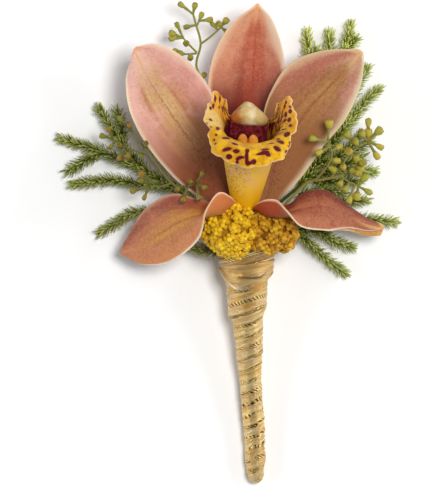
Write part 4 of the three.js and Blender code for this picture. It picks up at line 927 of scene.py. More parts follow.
def cuff():
    """The last, widest turn. Its lower edge hangs lowest in front and climbs to both sides, and is rolled:
    the thickness is an oval profile whose radius grows towards that edge. Its marks count turns from 3, so
    that what is only for the turns above the cuff, which are below 2, leaves it alone."""
    angle = np.linspace(0, 2 * np.pi, 160, endpoint=False)[None, :]
    across = np.cos(angle)
    climb_left = np.clip((-across - 0.3) / 0.7, 0, 1) ** 2.4
    climb_right = np.clip((across - 0.35) / 0.65, 0, 1) ** 1.6
    low = CUFF_BOTTOM - CLIMB_LEFT * climb_left - CLIMB_RIGHT * climb_right
    high = CUFF_TOP - 0.7 * across + 0.15 * uneven(2 * angle, 1)
    p = np.linspace(0, 1, 90, endpoint=False)[:, None]
    w = 0.5 - 0.5 * np.cos(2 * np.pi * p)
    face = np.sin(2 * np.pi * p)
    length = high + (low - high) * w
    roll = 0.3 * smoothstep(w, 0.72, 0.93) + 0.3 * smoothstep(w, 0.86, 0.93) * smoothstep(-across, 0.1, 0.5)
    (crease, fold), dark = cuff_creases(w, angle, face)
    profile = (0.14 + 0.14 * w) * np.sign(face) * np.abs(face) ** 0.5
    radius = handle_radius(length) + 0.32 + 0.2 * w + profile + roll + crease + fold
    # rolled: above 0 on the rolled lower edge, and below 0 along the deep crease, where painted shade goes.
    rolled = smoothstep(w, 0.84, 0.92) * smoothstep(-across, 0, 0.5) - dark
    turns = 3 + angle / (2 * np.pi)
    notes = np.stack(np.broadcast_arrays(turns, 0.72 * w, handle_radius(length), rolled), -1)
    return doughnut(on_table(on_handle(length, angle, radius)), notes)


# %% Folded end
def ribbon_end():
    """The folded end of the ribbon closes the foot of the handle like a cap: three pleats, as the sine of
    three times the angle, that twist with the length."""
    length = np.linspace(56.5, HANDLE_LENGTH + 0.4, 40)[:, None]
    angle = np.linspace(0, 2 * np.pi, 64, endpoint=False)[None, :]
    end = blunt(length)
    fold = 0.16 * np.sin(3 * angle + 0.9 * length) + 0.1 * uneven(angle * 2 + length, 2.0)
    radius = (handle_radius(np.clip(length, 0, FOOT_LENGTH)) + 0.12 + fold) * end
    ring = on_handle(length, angle, np.maximum(radius, 0.05))
    notes = np.stack(np.broadcast_arrays(length / 3, 0.35 + 0.2 * np.sin(angle), radius, 0.0), -1)
    return outwards(loft(on_table(ring)[None], notes[None]))


# %% Ribbon finish
def ribbon_finish():
    """Gold satin, creased along the winding, with painted sheen and shade on its folds and painted glints,
    and at the edge a glittering braid of two metal threads, each a row of slanting beads: the product of two
    sines.
    The gaps between the beads are dark, and in places a fold hides the braid, but never on the turns above
    the cuff. rolled is above 0 on the cuff's rolled edge and below 0 in its deep crease, where shade is
    painted."""
    f = Finish("ribbon finish", Specular_IOR_Level=0.3)
    s, w, reach, rolled = f.where()
    round_mm = s * reach * 6.28
    grain = f.noise(1.0, f.vector(round_mm * 0.5, w * 14.0), detail=3.0, roughness=0.6)
    glitter = f.noise(1.0, f.vector(round_mm * 2.6, w * 9.0), detail=2.0, roughness=0.7)
    folds = f.noise(1.0, f.vector(round_mm * 0.16, w * 3.4, s), detail=2.0)
    patches = f.noise(0.22, f.vector(round_mm, s * 14.0), detail=1.0).step(0.42, 0.6)
    sparks = f.noise(1.0, f.vector(round_mm * 3.4, w * 16.0), detail=2.0, roughness=0.8)
    top = s.step(1.7, 1.4)

    # Painted sheen and shade: paler where the folds' relief rises, darker in its hollows.
    satin = f.mix(folds.step(0.3, 0.68), "#d69f46", "#f8da94")
    satin = f.mix(grain.step(0.5, 0.7) * 0.35, satin, "#a87830")
    # Painted glints: pale cream streaks.
    satin = f.mix(glitter.step(0.55, 0.66) * 0.7, satin, "#ffeebc")
    # Painted sparkle, in patches: dark brown flecks and near-white sparks.
    satin = f.mix(sparks.step(0.52, 0.44) * patches * 0.5, satin, "#7a4c18")
    satin = f.mix(sparks.step(0.52, 0.6) * patches * 0.8, satin, "#fff6dc")
    satin = f.mix(top * (folds + w.step(0.6, 0.8)) * 0.5, satin, "#6c4418")
    satin = f.mix(s.step(4.6, 4.0) * 0.22, satin, "#8a5414")
    satin = f.mix(rolled * 0.8, satin, "#fff0d0")
    # Painted shade: dark brown along the cuff's deep crease.
    satin = f.mix(rolled * -0.8, satin, "#4e2c0c")

    shown = f.noise(0.33, f.vector(round_mm, 0.0), detail=1.0).step(0.36, 0.48).most(top)
    braid = w.step(0.8, 0.86) * shown
    warp = glitter * 3.0
    slanting = (round_mm * 7.0 + w * 42.0 + warp).sine() * 0.5 + 0.5
    beads = slanting * ((w * 46.0 + warp).sine() * 0.3 + 0.7)
    # Painted light and shade on the braid: bright beads, dark gaps between them, darker where the satin's
    # folds sink.
    lit = (beads + (folds - 0.5) * (1 - top)).step(0.1, 0.45)
    thread = f.mix(lit, "#5c300a", f.mix(top, "#ffe08c", "#ffeaa4"))
    relief = braid * beads * 0.2 + grain * 0.4 + folds
    roughness = braid * -0.12 + grain * 0.15 + 0.26
    return f.paint(f.mix(braid, satin, thread), roughness, relief, 0.35, braid * (top * -0.5 + 0.28) + 0.6)


ribbon_parts = [ribbon(), cuff(), ribbon_end()]
make_piece("fine_gold_ribbon", "gold_ribbon", ribbon_finish(), ribbon_parts)

# %% [markdown]
# ## Inside the ribbon
# Nobody sees these, but they hold the flowers together: green floral tape round all the stems, the orchid's
# own stalk, and a wire that is hooked behind the bloom. They are rods and a sleeve along the handle's line.

# %% Tape
def floral_tape():
    """A sleeve between two radii, closed by a ring at each end. Its laps are a saw tooth of the length less
    the share of a turn, and its top rises on the right, as the ribbon does."""
    length = np.linspace(-2.5, HANDLE_LENGTH - 6, 150)[:, None]
    angle = np.linspace(0, 2 * np.pi, 40, endpoint=False)[None, :]
    outside = inside_tape(np.clip(length, 0, 64)) + TAPE_THICKNESS
    lap = 0.12 * ((length / 5 - angle / (2 * np.pi)) % 1)
    rise = 0.36 * np.cos(angle) * outside * smoothstep(-length, -8, 2)
    outer = on_handle(length - rise, angle, outside - 0.12 + lap)
    inner = on_handle(length - rise, angle, outside - TAPE_THICKNESS)
    return doughnut(np.concatenate([outer, inner[::-1]]), np.zeros(4))


def stem_finish(name, light, dark, scale=700.0, roughness=0.5):
    """Green with darker streaks and a fine grain."""
    f = Finish(name, Roughness=roughness)
    grain = f.noise(scale, detail=3.0, roughness=0.6)
    return f.paint(f.mix(grain.step(0.35, 0.65), light, dark), None, grain, 0.12)


make_piece("fine_floral_tape", "floral_tape", stem_finish(
    "tape finish", "#6d8450", "#4c6238", 500.0, 0.75), [floral_tape()])

# %% Stalk and wire
STALK_RADIUS, WIRE_RADIUS, WIRE_GAP = 1.1, 0.3, 0.3
HOOK_HEIGHT, HOOK_BEHIND = 0.5, 1.9  # of the wire's bend, above the handle's top and behind its middle


def stalk_radius(t):
    """0.6 mm at the cut end, the stalk's own radius from the middle on, and wider into the bloom's ovary."""
    return 0.6 + 0.5 * smoothstep(t, 0, 0.6) + 1.2 * smoothstep(t, 0.86, 1)


def wire():
    """One rod down the left of the stalk, round behind its top, and down the right."""
    lengths = np.array([60, 48, 36, 24, 12, 3])
    beside_stalk = STALK_RADIUS + WIRE_GAP + WIRE_RADIUS
    offset = np.minimum(beside_stalk, inside_tape(lengths) - WIRE_RADIUS - WIRE_GAP / 2)
    left, right = (on_handle(lengths, angle, offset) for angle in (np.pi, 0))
    hook = on_handle(-HOOK_HEIGHT, -np.pi / 2, HOOK_BEHIND)
    return tube([*left, hook, *right[::-1]], WIRE_RADIUS, sides=10, steps=140)


stalk_line = [*on_handle(np.array([48, 36, 24, 12, 2]), 0, 0), [4.8, 4.6, 10.6], in_bloom(1.5, 0, 0)]
make_piece("fine_orchid_stem", "orchid_stem", stem_finish(
    "stalk finish", "#8a9a50", "#6c7d3c"), [tube(stalk_line, stalk_radius, 20, 80)])
make_piece("fine_florist_wire", "florist_wire", stem_finish(
    "wire finish", "#4d6a43", "#3d5636", 900.0, 0.4), [wire()])

# %% [markdown]
# ## Fern
# Each sprig is a bottle brush: a slim shoot with hundreds of short needles that lean forward and curve back
# in towards it. They spiral round the shoot by the golden angle, which leaves no rows. All the needles of a
# shoot are worked out at once, and each has only a few faces.

# %% Ferns
FERNS = {
    "fern_left": {
        "slot": 6, "cut": 17, "bare": 0.36,
        "stem": [[-5, 7, 7], [-12.9, 13.6, 5], [-22.2, 18.9, 3.6], [-32.9, 23.8, 2.5], [-44.4, 27.4, 2]],
        "sprigs": [
            [[-32.6, 23.7, 2.5], [-37.5, 21.4, 2.4], [-42.3, 18.3, 2]],
            [[-20.2, 18, 3.9], [-25, 22.6, 4.2], [-29, 27.7, 4.2], [-30.8, 30.6, 3], [-34.1, 35.8, 2.4]],
            [[-27.2, 25.4, 4.2], [-27.9, 30.8, 3.6], [-29, 35, 3]],
            [[-13.4, 13.9, 4.9], [-23.5, 15.4, 3.8], [-30.3, 16.4, 2.8], [-35.5, 16, 2.4], [-41.1, 15.2, 2]],
        ],
    },
    "fern_left_low": {
        "slot": 5, "cut": 13, "bare": 0.42,
        "stem": [[-5, 2.5, 7.5], [-14, 6.8, 5.5], [-23.5, 8, 3.8], [-28.4, 5.6, 2.4], [-34, 2.2, 2]],
        "sprigs": [[[-0.4, 0.6, 9], [-3.2, -2.2, 7.5], [-9.4, -1.4, 5.4]]],
    },
    "fern_right_top": {
        "slot": 7, "cut": 18, "bare": 0.62,
        "stem": [[6, 12, 4], [13, 26, 3.6], [18, 38, 3.4], [21, 47, 2.8], [20.9, 55.6, 2]],
        "sprigs": [
            [[20.3, 45, 3.4], [22, 48.4, 3.4], [23.7, 51.4, 3]],
            [[17, 35.6, 3.4], [24, 43, 3.6], [26.6, 49, 2.6], [26.8, 55.6, 2]],
            [[14.6, 30, 3.6], [24, 39, 3.8], [30.3, 49.6, 2.8], [32.6, 58, 2]],
            [[30, 49, 2.8], [32, 51.4, 2.8], [34.2, 54.2, 3]],
        ],
    },
    "fern_right": {
        "slot": 8, "cut": 15, "bare": 0.5,
        "stem": [[11, 8, 5], [19.4, 15.5, 4], [24.6, 22.6, 3.6], [31.9, 31.3, 3.4], [36.3, 37, 2.4],
                 [40.1, 40.6, 2]],
        "sprigs": [
            [[29.6, 28.6, 3.6], [31.6, 36, 3.4], [34.6, 42.4, 2.4], [37, 46.3, 2]],
            [[22.6, 20, 3.8], [28.6, 22.4, 4.4], [34, 24.4, 4.2], [38, 27.6, 3.2]],
            [[20.4, 16.8, 4], [27.6, 18.4, 4.6], [33, 18.8, 4.2], [39, 18.7, 3]],
            [[24, 21.6, 4], [28.2, 27, 4.8], [32.4, 32.2, 4.6]],
            [[24.6, 19.8, 4.4], [29.6, 22.8, 5.6], [35.2, 28.6, 5]],
            [[24, 17.8, 4.6], [29.4, 20, 5.8], [36, 22.6, 5.4]],
            [[22.6, 15.6, 4.6], [28, 15.8, 5.8], [34.6, 16, 5.2]],
            [[18.6, 12.6, 4.8], [24.4, 13.6, 5.6], [31, 13, 5]],
        ],
    },
    "fern_right_low": {
        "slot": 9, "cut": 12, "bare": 0.4,
        "stem": [[12, 4, 6.4], [18.9, 1.8, 4.6], [23, -1.6, 3.6], [27.2, -5.2, 2.4], [31.2, -8.4, 2]],
        "sprigs": [
            [[14.5, 3.6, 5.8], [22.6, 3.4, 4.6], [28.4, 0.3, 2.6], [33.3, -1.4, 2]],
            [[14.5, 3.7, 5.8], [24, 7, 4.4], [34, 6.4, 2.5], [44.4, 5.3, 2]],
            [[21, 6, 4.8], [28, 10.2, 4], [32.9, 10.8, 3.6], [37, 11.2, 3]],
        ],
    },
}
print("fern shoots:", sum(1 + len(look["sprigs"]) for look in FERNS.values()))

# %% Needles
NEEDLE_LENGTH, NEEDLE_RADIUS, NEEDLE_STEP = 2.9, 0.27, 0.095  # mm, and NEEDLE_STEP mm from root to root
NEEDLE_LEAN, TIP_LEAN_LOSS = 56, 30  # degrees from the shoot, and how much less at its very tip
chance = np.random.default_rng(7)


def needles(points, bare):
    """Roots along the shoot, turned by k golden angles. A needle's middle line goes forward by cos(lean)
    and outwards by sin(lean), less a share of the square of its length, so that it curves in. The lean
    falls only near the very tip, by the 16th power of the share, which closes the brush. bare is the share
    of the shoot with no needles."""
    length = curve_length(points)
    furthest = 1 - 0.4 * NEEDLE_LENGTH / length
    count = int((furthest - bare) * length / NEEDLE_STEP)
    t = np.linspace(bare, furthest, count)
    root, along = even_curve(points, t)
    side = unit(np.cross(along, ACROSS))
    up = np.cross(along, side)
    turn = (np.arange(count) * GOLDEN_ANGLE + chance.normal(0, 0.15, count))[:, None]
    out = np.cos(turn) * side + np.sin(turn) * up
    tip = ((t - bare) / (furthest - bare)) ** 16
    lean = np.radians(NEEDLE_LEAN - TIP_LEAN_LOSS * tip + chance.normal(0, 6, count))
    reach = NEEDLE_LENGTH * chance.uniform(0.75, 1.08, count)
    s = np.array([0, 0.35, 0.7, 1.0])
    forward = reach[:, None] * s * np.cos(lean)[:, None]
    outward = reach[:, None] * (s * 1.15 - 0.25 * s**2) * np.sin(lean)[:, None]
    line = root[:, None] + forward[..., None] * along[:, None] + outward[..., None] * out[:, None]
    line[..., 2] = np.maximum(line[..., 2], 0.12)
    wide = np.cross(along, out)[:, None, None]
    thick = out[:, None, None]
    angle = np.arange(4) * np.pi / 2
    radius = NEEDLE_RADIUS * np.array([0.8, 1.0, 0.95, 0.5])[None, :, None, None]
    ring = line[:, :, None] + radius * (
        np.cos(angle)[:, None] * wide + 0.6 * np.sin(angle)[:, None] * thick)
    own = chance.uniform(0, 1, count)[:, None, None]
    notes = np.stack(np.broadcast_arrays(s[None, :, None], t[:, None, None], own, np.zeros((1, 1, 4))), -1)
    return outwards(loft(ring, notes))


WOOD = (0, 0, -1, 0)  # marks a shoot, where a needle has its own number from 0 to 1


def fern(slot, cut, bare, stem, sprigs):
    """The main shoot, from its cut end inside the handle, and its sprigs. Each thins towards its tip by 0.4
    of its radius, 0.5 mm for the main shoot and 0.4 for a sprig."""
    main = [*slot_path(slot, cut), *stem]
    parts = [tube(main, lambda t: 0.5 * (1 - 0.4 * t), 8, 60, WOOD), needles(main, bare)]
    for sprig in sprigs:
        parts += [tube(sprig, lambda t: 0.4 * (1 - 0.4 * t), 8, 20, WOOD), needles(sprig, 0.05)]
    return parts


# %% Fern finish
def fern_finish(name, dark, light, tip, fresh):
    """Dark at a needle's root and yellow-green at its tip, partly its own colour and partly painted shade
    among the crowded needles and painted highlight on their tips. Some needles are paler than others, and
    fresh is how much paler they get towards the end of the shoot."""
    f = Finish(name, Roughness=0.5, Specular_IOR_Level=0.2)
    s, t, own, _ = f.where()
    # Painted shade darkens the roots and painted highlight pales the tips, over the needles' own green.
    colour = f.mix((s * 0.85 + own * 0.3).step(0.15, 0.75), dark, light)
    colour = f.mix((s + own * 0.6).step(0.7, 1.3) * 0.9, colour, tip)
    colour = f.mix(t.step(0.55, 1.0) * fresh * 0.6, colour, tip)
    colour = f.mix(own.step(-0.4, -0.9), colour, dark)
    return f.paint(colour, None, f.noise(900.0), 0.05)


FERN_LOOKS = {
    "fern_left": ("#464e14", "#7c862e", "#b0b464", 0.3),
    "fern_left_low": ("#4a5016", "#80883a", "#b4b468", 0.3),
    "fern_right_top": ("#525c10", "#90a020", "#dce088", 0.5),
    "fern_right": ("#485212", "#869428", "#ccd27e", 0.5),
    "fern_right_low": ("#4c561a", "#84902c", "#c2c878", 0.5),
}
for node, look in FERNS.items():
    finish = fern_finish(f"{node} finish", *FERN_LOOKS[node])
    make_piece(f"fine_{node}", node, finish, fern(**look))

# %% [markdown]
# ## Budded twigs
# The twigs end in clusters of buds on short stalks that widen into them. Each bud is turned on its own line
# from the nearest wood: a slim neck, a rounded pear and a blunt tip, all from one list of radii.

# %% Twigs
TWIGS = {
    "bud_twig_top": {
        "slot": 4, "cut": 16, "bud_size": 0.92,
        "stem": [[-1.4, 9, 8.2], [-3, 24, 7.4], [-5.1, 39.4, 8.6], [-8.1, 45.8, 9.4], [-7, 51.8, 10],
                 [-8.2, 56.8, 10.4], [-9, 59.6, 10.6]],
        "branches": [
            [[-7, 51.8, 10], [-4.8, 53.4, 10.4], [-2.5, 55.4, 10.6], [-1.4, 56.6, 10.8]],
            [[-8, 49.6, 9.8], [-9.6, 51.2, 9.6], [-11.6, 53.4, 9.6]],
            [[-8, 49.4, 9.8], [-9.6, 49.2, 9.4], [-11.2, 49.2, 9.2]],
            [[-8.1, 56.4, 10.4], [-7.4, 57.8, 10.6]],
        ],
        "buds_at": [
            [-12.1, 62, 11], [-8.5, 61.7, 11.4], [-6.8, 59.3, 10.2], [-4.7, 58.1, 11.2], [-3.8, 56.8, 10.8],
            [-0.4, 57.8, 11], [0, 54.8, 10.4], [-2.1, 56.9, 11.4], [-13.1, 56.7, 10.4], [-10.6, 56.3, 9],
            [-14.4, 54.6, 9.6], [-14.5, 53.2, 9.8], [-13.5, 49.9, 9.2], [-12.4, 49.3, 10], [-10.7, 52, 10.6],
            [-6.2, 43.6, 9.6], [-9.7, 48.4, 10],
        ],
    },
    "bud_twig_left": {
        "slot": 3.4, "cut": 14, "bud_size": 0.84,
        "stem": [[-1, 5, 11], [-7, 10, 11.6], [-13.4, 14.6, 14.6], [-17, 18.4, 15.4], [-20.6, 23.4, 15],
                 [-24.8, 28.8, 14]],
        "branches": [
            [[-14.4, 15.5, 14.9], [-17.4, 14.6, 14], [-20.4, 14.8, 13]],
            [[-20.4, 23.2, 15], [-25.4, 24.4, 12.6], [-30, 27, 11]],
            [[-13.2, 14.5, 14.6], [-10.6, 14.6, 17.4], [-8, 15.4, 18.6]],
        ],
        "buds_at": [
            [-28, 32.2, 13.4], [-25.6, 30.6, 15.4], [-32.6, 27.8, 10.6], [-30.4, 25, 12], [-28, 25.4, 13.8],
            [-31, 29.6, 12], [-28.2, 22, 11.6], [-26, 22.4, 13.6], [-21.2, 25.6, 17.6], [-22.6, 22.9, 12.6],
            [-22.4, 18, 13], [-22.6, 16.2, 14.6], [-24.6, 13.4, 12], [-21.6, 11.8, 13.4], [-13, 13.8, 18.4],
            [-9.6, 15.8, 20.6], [-6.6, 17.8, 19.6], [-6, 14.2, 20.6], [-11.4, 11, 20.2], [-7.4, 11.6, 21],
        ],
    },
    "bud_twig_right": {
        "slot": 1.6, "cut": 15, "bud_size": 1.14,
        "stem": [[10.6, 4.6, 12], [16, 11, 12.4], [20.6, 15.4, 13.6], [25, 16.4, 15.6], [29.4, 17.4, 16.6],
                 [33.6, 20.4, 16]],
        "branches": [
            [[22.6, 15.9, 14.6], [25.8, 19.6, 17.6], [27.1, 23, 19], [26, 26.1, 20]],
            [[27, 16.9, 16.2], [30, 20.6, 16], [33.2, 24.2, 15.6], [36.4, 26.4, 15.4]],
            [[29.2, 17.3, 16.6], [31.8, 15.6, 16.4], [34, 14.6, 16]],
        ],
        "buds_at": [
            [26.3, 30.8, 21], [22, 26.9, 21], [23.6, 23.3, 20], [36.6, 31.2, 16], [34.9, 28.4, 17.4],
            [39.4, 29, 15.4], [39.6, 24.9, 15.4], [38.8, 22.6, 14.4], [31.4, 23.6, 18], [28.9, 24.8, 17.4],
            [31, 28, 18], [35, 20.6, 18], [33.8, 17.9, 18.4], [35.6, 16.8, 15.4], [30, 19.6, 19],
            [30.6, 13.8, 18.4], [36.6, 13.2, 15.6], [33.6, 12, 15], [31.6, 11, 17], [28.4, 21.2, 17.6],
            [33.4, 21.8, 16.6], [27.4, 18.9, 17.8], [33.2, 26.2, 17.2], [32.2, 18.6, 17.8],
            [29.2, 15.2, 18.2], [34.6, 19, 16.4], [36.6, 28.6, 15.8],
        ],
    },
}
print("buds:", sum(len(look["buds_at"]) for look in TWIGS.values()))

# %% Buds
BUD_LENGTH = 2.2
# Along a bud from its root, as shares of the neck and then of the head, and the radius at each.
NECK = np.array([[0, 0.34], [0.4, 0.3], [0.75, 0.4]])
HEAD = np.array([[0.02, 0.5], [0.22, 0.8], [0.45, 0.98], [0.7, 1.0], [0.86, 0.84], [0.9, 0.5], [0.95, 0.3]])


def buds(wood, centres, bud_size):
    """For each centre the nearest point of the wood is its root. Rings stand across the line between them,
    at the neck's shares of the way to the head and the head's shares of its length. Small random lumps grow
    with the share of the head's length."""
    centres = np.array(centres, float)
    places = np.concatenate([smooth_curve(points, np.linspace(0, 1, 60)) for points in wood])
    root = places[np.linalg.norm(centres[:, None] - places[None], axis=-1).argmin(axis=1)]
    gap = np.linalg.norm(centres - root, axis=-1)
    along = unit(centres - root)
    side = unit(np.cross(along, ACROSS))
    up = np.cross(along, side)
    half = BUD_LENGTH * bud_size / 2
    neck = np.maximum(gap - half, 0.3)[:, None]
    size = bud_size * chance.uniform(0.7, 1.04, len(centres))[:, None]
    distance = np.concatenate([neck * NECK[:, 0], neck + (gap[:, None] + half - neck) * HEAD[:, 0]], 1)
    radius = np.concatenate([0 * neck + NECK[:, 1], size * HEAD[:, 1]], 1)
    angle = np.linspace(0, 2 * np.pi, 10, endpoint=False)[None, None, :, None]
    across = np.cos(angle) * side[:, None, None] + np.sin(angle) * up[:, None, None]
    line = root[:, None] + distance[..., None] * along[:, None]
    ring = line[:, :, None] + radius[..., None, None] * across
    share = np.concatenate([0 * NECK[:, 0], HEAD[:, 0]])[None, :, None]
    own = chance.uniform(0, 1, len(centres))[:, None, None]
    lumps = chance.normal(0, 0.07, ring.shape) * share[..., None]
    notes = np.stack(np.broadcast_arrays(share, own, 0.0, np.zeros((1, 1, 10))), -1)
    return outwards(loft(ring + lumps, notes))


def twig(slot, cut, stem, branches, buds_at, bud_size):
    """The main twig, from its cut end inside the handle, its branches, and the buds. The wood's marks are 0,
    as at a bud's neck."""
    main = [*slot_path(slot, cut), *stem]
    parts = [tube(main, lambda t: 0.52 - 0.24 * t, 10, 80)]
    parts += [tube(branch, lambda t: 0.3 - 0.07 * t, 8, 24) for branch in branches]
    return [(p, f, n * 0) for p, f, n in parts] + [buds([main, *branches], buds_at, bud_size)]


# %% Bud finish
def bud_finish(name, green, gold, tip, wood):
    """Woody on stem and neck, green to gold from bud to bud, and darker at the blunt tip."""
    f = Finish(name, Roughness=0.45, Coat_Weight=0.1, Coat_Roughness=0.4)
    share, own, _, _ = f.where()
    grain = f.noise(800.0, detail=2.0)
    colour = f.mix((own + (grain - 0.5) * 1.6).step(0.2, 0.8), green, gold)
    colour = f.mix((share + (grain - 0.5) * 0.3).step(0.72, 0.97) * 0.8, colour, tip)
    colour = f.mix(share.step(0.16, 0.02), colour, wood)
    return f.paint(colour, None, grain, 0.12)


BUD_LOOKS = {
    "bud_twig_top": ("#8c8f2e", "#a09a38", "#7d6a26", "#858a3c"),
    "bud_twig_left": ("#80802c", "#95762a", "#6c4a1e", "#6a6a30"),
    "bud_twig_right": ("#9a9a34", "#b6a43c", "#8a742c", "#86803c"),
}
for node, look in TWIGS.items():
    finish = bud_finish(f"{node} finish", *BUD_LOOKS[node])
    make_piece(f"fine_{node}", node, finish, twig(**look))

# %% [markdown]
# ## Yarrow
# Each head is a low dome, packed with florets of 3 mm. A floret is a ring of little knobs round a middle
# one. The knobs are all the same few-sided ball, set out by the golden angle, first the florets over the
# dome and then the knobs over each floret.

# %% Yarrow
YARROWS = {
    "yarrow_left": {
        "slot": 2.6, "cut": 11, "centre": [0.6, 3.6, 17], "radii": [5.9, 6.2, 3.4], "florets": 34,
        "low": [[2.9, -3.4, 14.8], [0.2, -2.9, 15.4]],
    },
    "yarrow_right": {
        "slot": 1, "cut": 10, "centre": [11.3, 3.2, 16], "radii": [6.2, 5.0, 3.2], "florets": 32,
        "low": [[11.6, -1.8, 14.8]],
    },
}
KNOBS, FLORET_RADIUS = 9, 1.25


def spread(count, depth):
    """Directions spread evenly from straight up: height falls by equal steps of depth / count from 1, and
    each is turned by a golden angle from the last."""
    k = np.arange(count)
    height = 1 - depth * (k + 0.5) / count
    across = np.sqrt(1 - height**2)
    return np.stack([across * np.cos(k * GOLDEN_ANGLE), across * np.sin(k * GOLDEN_ANGLE), height], -1)


def balls(centres, radii, notes, rings=4, sides=6):
    """Spheres of a few faces: sine and cosine of the angle down from the top, turned round the axis."""
    down = np.linspace(0.35, np.pi - 0.35, rings)[:, None]
    turn = np.linspace(0, 2 * np.pi, sides, endpoint=False)[None, :]
    x, y = np.sin(down) * np.cos(turn), np.sin(down) * np.sin(turn)
    one = np.stack(np.broadcast_arrays(x, y, np.cos(down)), -1)
    places = centres[:, None, None] + radii[:, None, None, None] * one[None]
    return outwards(loft(places, notes[:, None, None]))


# %% Heads
CORE, MOUND, STALK = (0, 0, 0.5, 1.0), (0, 0, 0.5, 0.7), (0, 0, 0.5, 2)  # marks that the finish reads


def yarrow(slot, cut, centre, radii, florets, low):
    """A core, a stem, and knobs on small mounds that stand all over the core. The florets in low hang
    over the ribbon, at places of their own. A knob's place is its floret's middle, plus its direction in the
    floret's own frame times the floret's size, and a quarter flatter outwards."""
    centre, radii = np.array(centre), np.array(radii)
    way = spread(florets, 1.35)
    facing = unit(way / radii)
    middle = centre + way * radii + facing * chance.uniform(-0.7, 0.8, florets)[:, None]
    middle = np.concatenate([middle, low])
    facing = np.concatenate([facing, unit(np.array(low) - centre)])
    count = len(middle)
    right = unit(np.cross(facing, ACROSS + 0.01))
    ahead = np.cross(facing, right)
    local = spread(KNOBS, 1.15)
    size = FLORET_RADIUS * chance.uniform(0.85, 1.15, count)[:, None, None]
    offset = (local[None, :, :1] * right[:, None] + local[None, :, 1:2] * ahead[:, None]
              + local[None, :, 2:] * facing[:, None] * 0.75)
    places = (middle[:, None] + size * offset).reshape(-1, 3)
    radius = chance.uniform(0.62, 0.9, len(places))
    own, floret = chance.uniform(0, 1, len(places)), chance.uniform(0, 1, count)
    notes = np.stack([np.tile(local[:, 2], count), own, np.repeat(floret, KNOBS), np.zeros(len(places))], -1)
    core = balls(np.zeros((1, 3)), np.ones(1), np.array([CORE]), 16, 32)
    core = (core[0] * radii * 0.98 + centre, core[1], core[2])
    mound = balls(middle, 0.72 * size[:, 0, 0], np.tile(MOUND, (count, 1)), 6, 10)
    stem = tube([*slot_path(slot, cut), centre], STEM_RADIUS, 10, 30, STALK)
    return [core, mound, stem, balls(places, radius, notes)]


# %% Yarrow finish
def yarrow_finish(name, light, deep, shade):
    """Golden knobs with brown specks, deeper on some florets than others, and deeper low down on each
    floret, which is painted shade. Mounds and core have the shade's colour, painted shade between the
    florets, and the stem is green, by their marks."""
    f = Finish(name, Roughness=0.6)
    height, own, floret, core = f.where()
    grain = f.noise(1100.0, detail=2.0)
    # Painted shade: knobs low on a floret take the deeper colour.
    colour = f.mix((own * 0.5 + height * 0.5 + (grain - 0.5)).step(0.25, 0.85), deep, light)
    colour = f.mix(floret.step(0.75, 1.0) * 0.3, colour, deep)
    colour = f.mix((own - height * 0.4).step(0.45, 0.6) * grain.step(0.5, 0.62) * 0.6, colour, "#8a4a16")
    colour = f.mix(core.step(0.4, 0.7), colour, shade)
    colour = f.mix(core.step(1.3, 1.8), colour, "#76873f")
    return f.paint(colour, None, grain, 0.15)


YARROW_LOOKS = {
    "yarrow_left": ("#eec926", "#d0a018", "#a07016"),
    "yarrow_right": ("#d6a828", "#b07818", "#805216"),
}
for node, look in YARROWS.items():
    finish = yarrow_finish(f"{node} finish", *YARROW_LOOKS[node])
    make_piece(f"fine_{node}", node, finish, yarrow(**look))

# %% [markdown]
# ## Table, light and camera
# A product photograph on white. The key light is a large soft box, high above and a little to the right, and
# its soft shadows fall to the lower left. Two small ones at the sides open them up a little, and make the
# metal braid glitter, since metal shows only what it reflects. The sky does the same for the satin: it is
# dim overhead, so that the middle of the handle stays deep, and bright like two white walls to the left and
# right.

# %% Table
TABLE_SIZE = 6.0
bpy.ops.mesh.primitive_plane_add(size=TABLE_SIZE, location=(0, 0, 0))
table = bpy.context.object
table.name = "white_table"
paper = Finish("white table", Roughness=0.9)
paper.paint(paper.mix(paper.noise(3.0), "#f9f9fa", "#fcfcfc"))
table.data.materials.append(paper.material)

# %% Lights
FOCUS_HEIGHT = 0.015  # of the bloom's middle, which the lights and the camera look at
# Place and size in metres, power in watts, and colour.
SOFT_BOXES = {
    "key": ((0.21, 0.12, 0.9), 0.27, 6.6, (1.0, 0.992, 0.98)),
    "left": ((-0.62, 0.1, 0.46), 0.13, 0.45, (0.85, 0.93, 1.0)),
    "right": ((0.6, 0.2, 0.48), 0.1, 0.5, (1.0, 0.99, 0.97)),
}


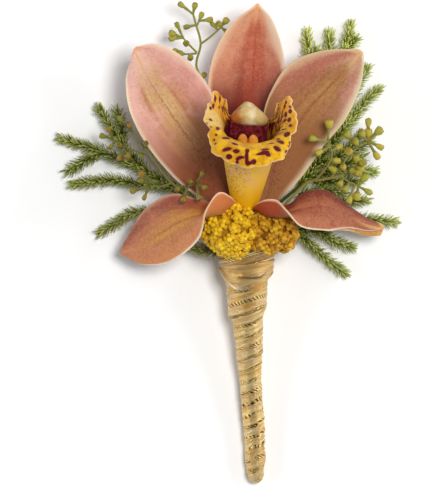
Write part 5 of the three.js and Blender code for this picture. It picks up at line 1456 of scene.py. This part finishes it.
def soft_box(name, place, size, power, colour):
    """A square light that looks at the bloom: it is tipped by the angle whose tangent is how far the bloom
    is to the side over how far it is below, and then turned towards it."""
    data = bpy.data.lights.new(name, "AREA")
    data.size, data.energy, data.color = size, power, colour
    box = bpy.data.objects.new(name, data)
    bpy.context.scene.collection.objects.link(box)
    box.location = place
    x, y, z = np.array([0.0, 0.0, FOCUS_HEIGHT]) - np.array(place)
    box.rotation_euler = (math.atan2(math.hypot(x, y), -z), 0, math.atan2(x, -y) + math.pi)
    return box


boxes = {name: soft_box(name, *values) for name, values in SOFT_BOXES.items()}
# Satin would mirror the key as a bright line down its middle, where the photograph is dark.
boxes["key"].visible_glossy = False
print("lights:", list(boxes))

# %% Sky
world = bpy.data.worlds.new("studio")
world.use_nodes = True
sky = Nodes(world.node_tree)
way = sky.node("ShaderNodeTexCoord", output="Generated")
sideways, height = (sky.node("ShaderNodeSeparateXYZ", None, {0: way}, k) for k in (0, 2))
walls = abs(sideways).step(0.62, 0.85) * height.step(0.0, 0.25)
glow = height.step(0.92, 0.6) * 0.25 + walls + 0.04
backdrop = sky.tree.nodes["Background"]
backdrop.inputs["Color"].default_value = tint("#ffffff")
sky.link(glow, backdrop.inputs["Strength"])
bpy.context.scene.world = world
bpy.context.scene.view_settings.view_transform = "Standard"

# %% Camera
# The photograph is 445 by 500 pixels of 0.26 mm. The camera stands above its middle. The frame's zero, about
# the middle of the boutonniere's length and width, is at ZERO_PIXEL.
PIXEL = 0.26 * MM
PICTURE_HEIGHT, PICTURE_MIDDLE, ZERO_PIXEL = 500, (222.5, 250), (227.5, 242.5)
LENS = 400  # mm: long, as the photograph has hardly any perspective
camera = bpy.data.objects.new("camera", bpy.data.cameras.new("camera"))
bpy.context.scene.collection.objects.link(camera)
camera.data.lens = LENS
distance = PICTURE_HEIGHT * PIXEL * LENS / camera.data.sensor_width
right, up = (PICTURE_MIDDLE[0] - ZERO_PIXEL[0]) * PIXEL, (ZERO_PIXEL[1] - PICTURE_MIDDLE[1]) * PIXEL
camera.location = (right, up, FOCUS_HEIGHT + distance)
camera.rotation_euler = (0, 0, 0)
camera.data.clip_end = 20
bpy.context.scene.camera = camera
print("camera height in m:", round(camera.location.z, 3))
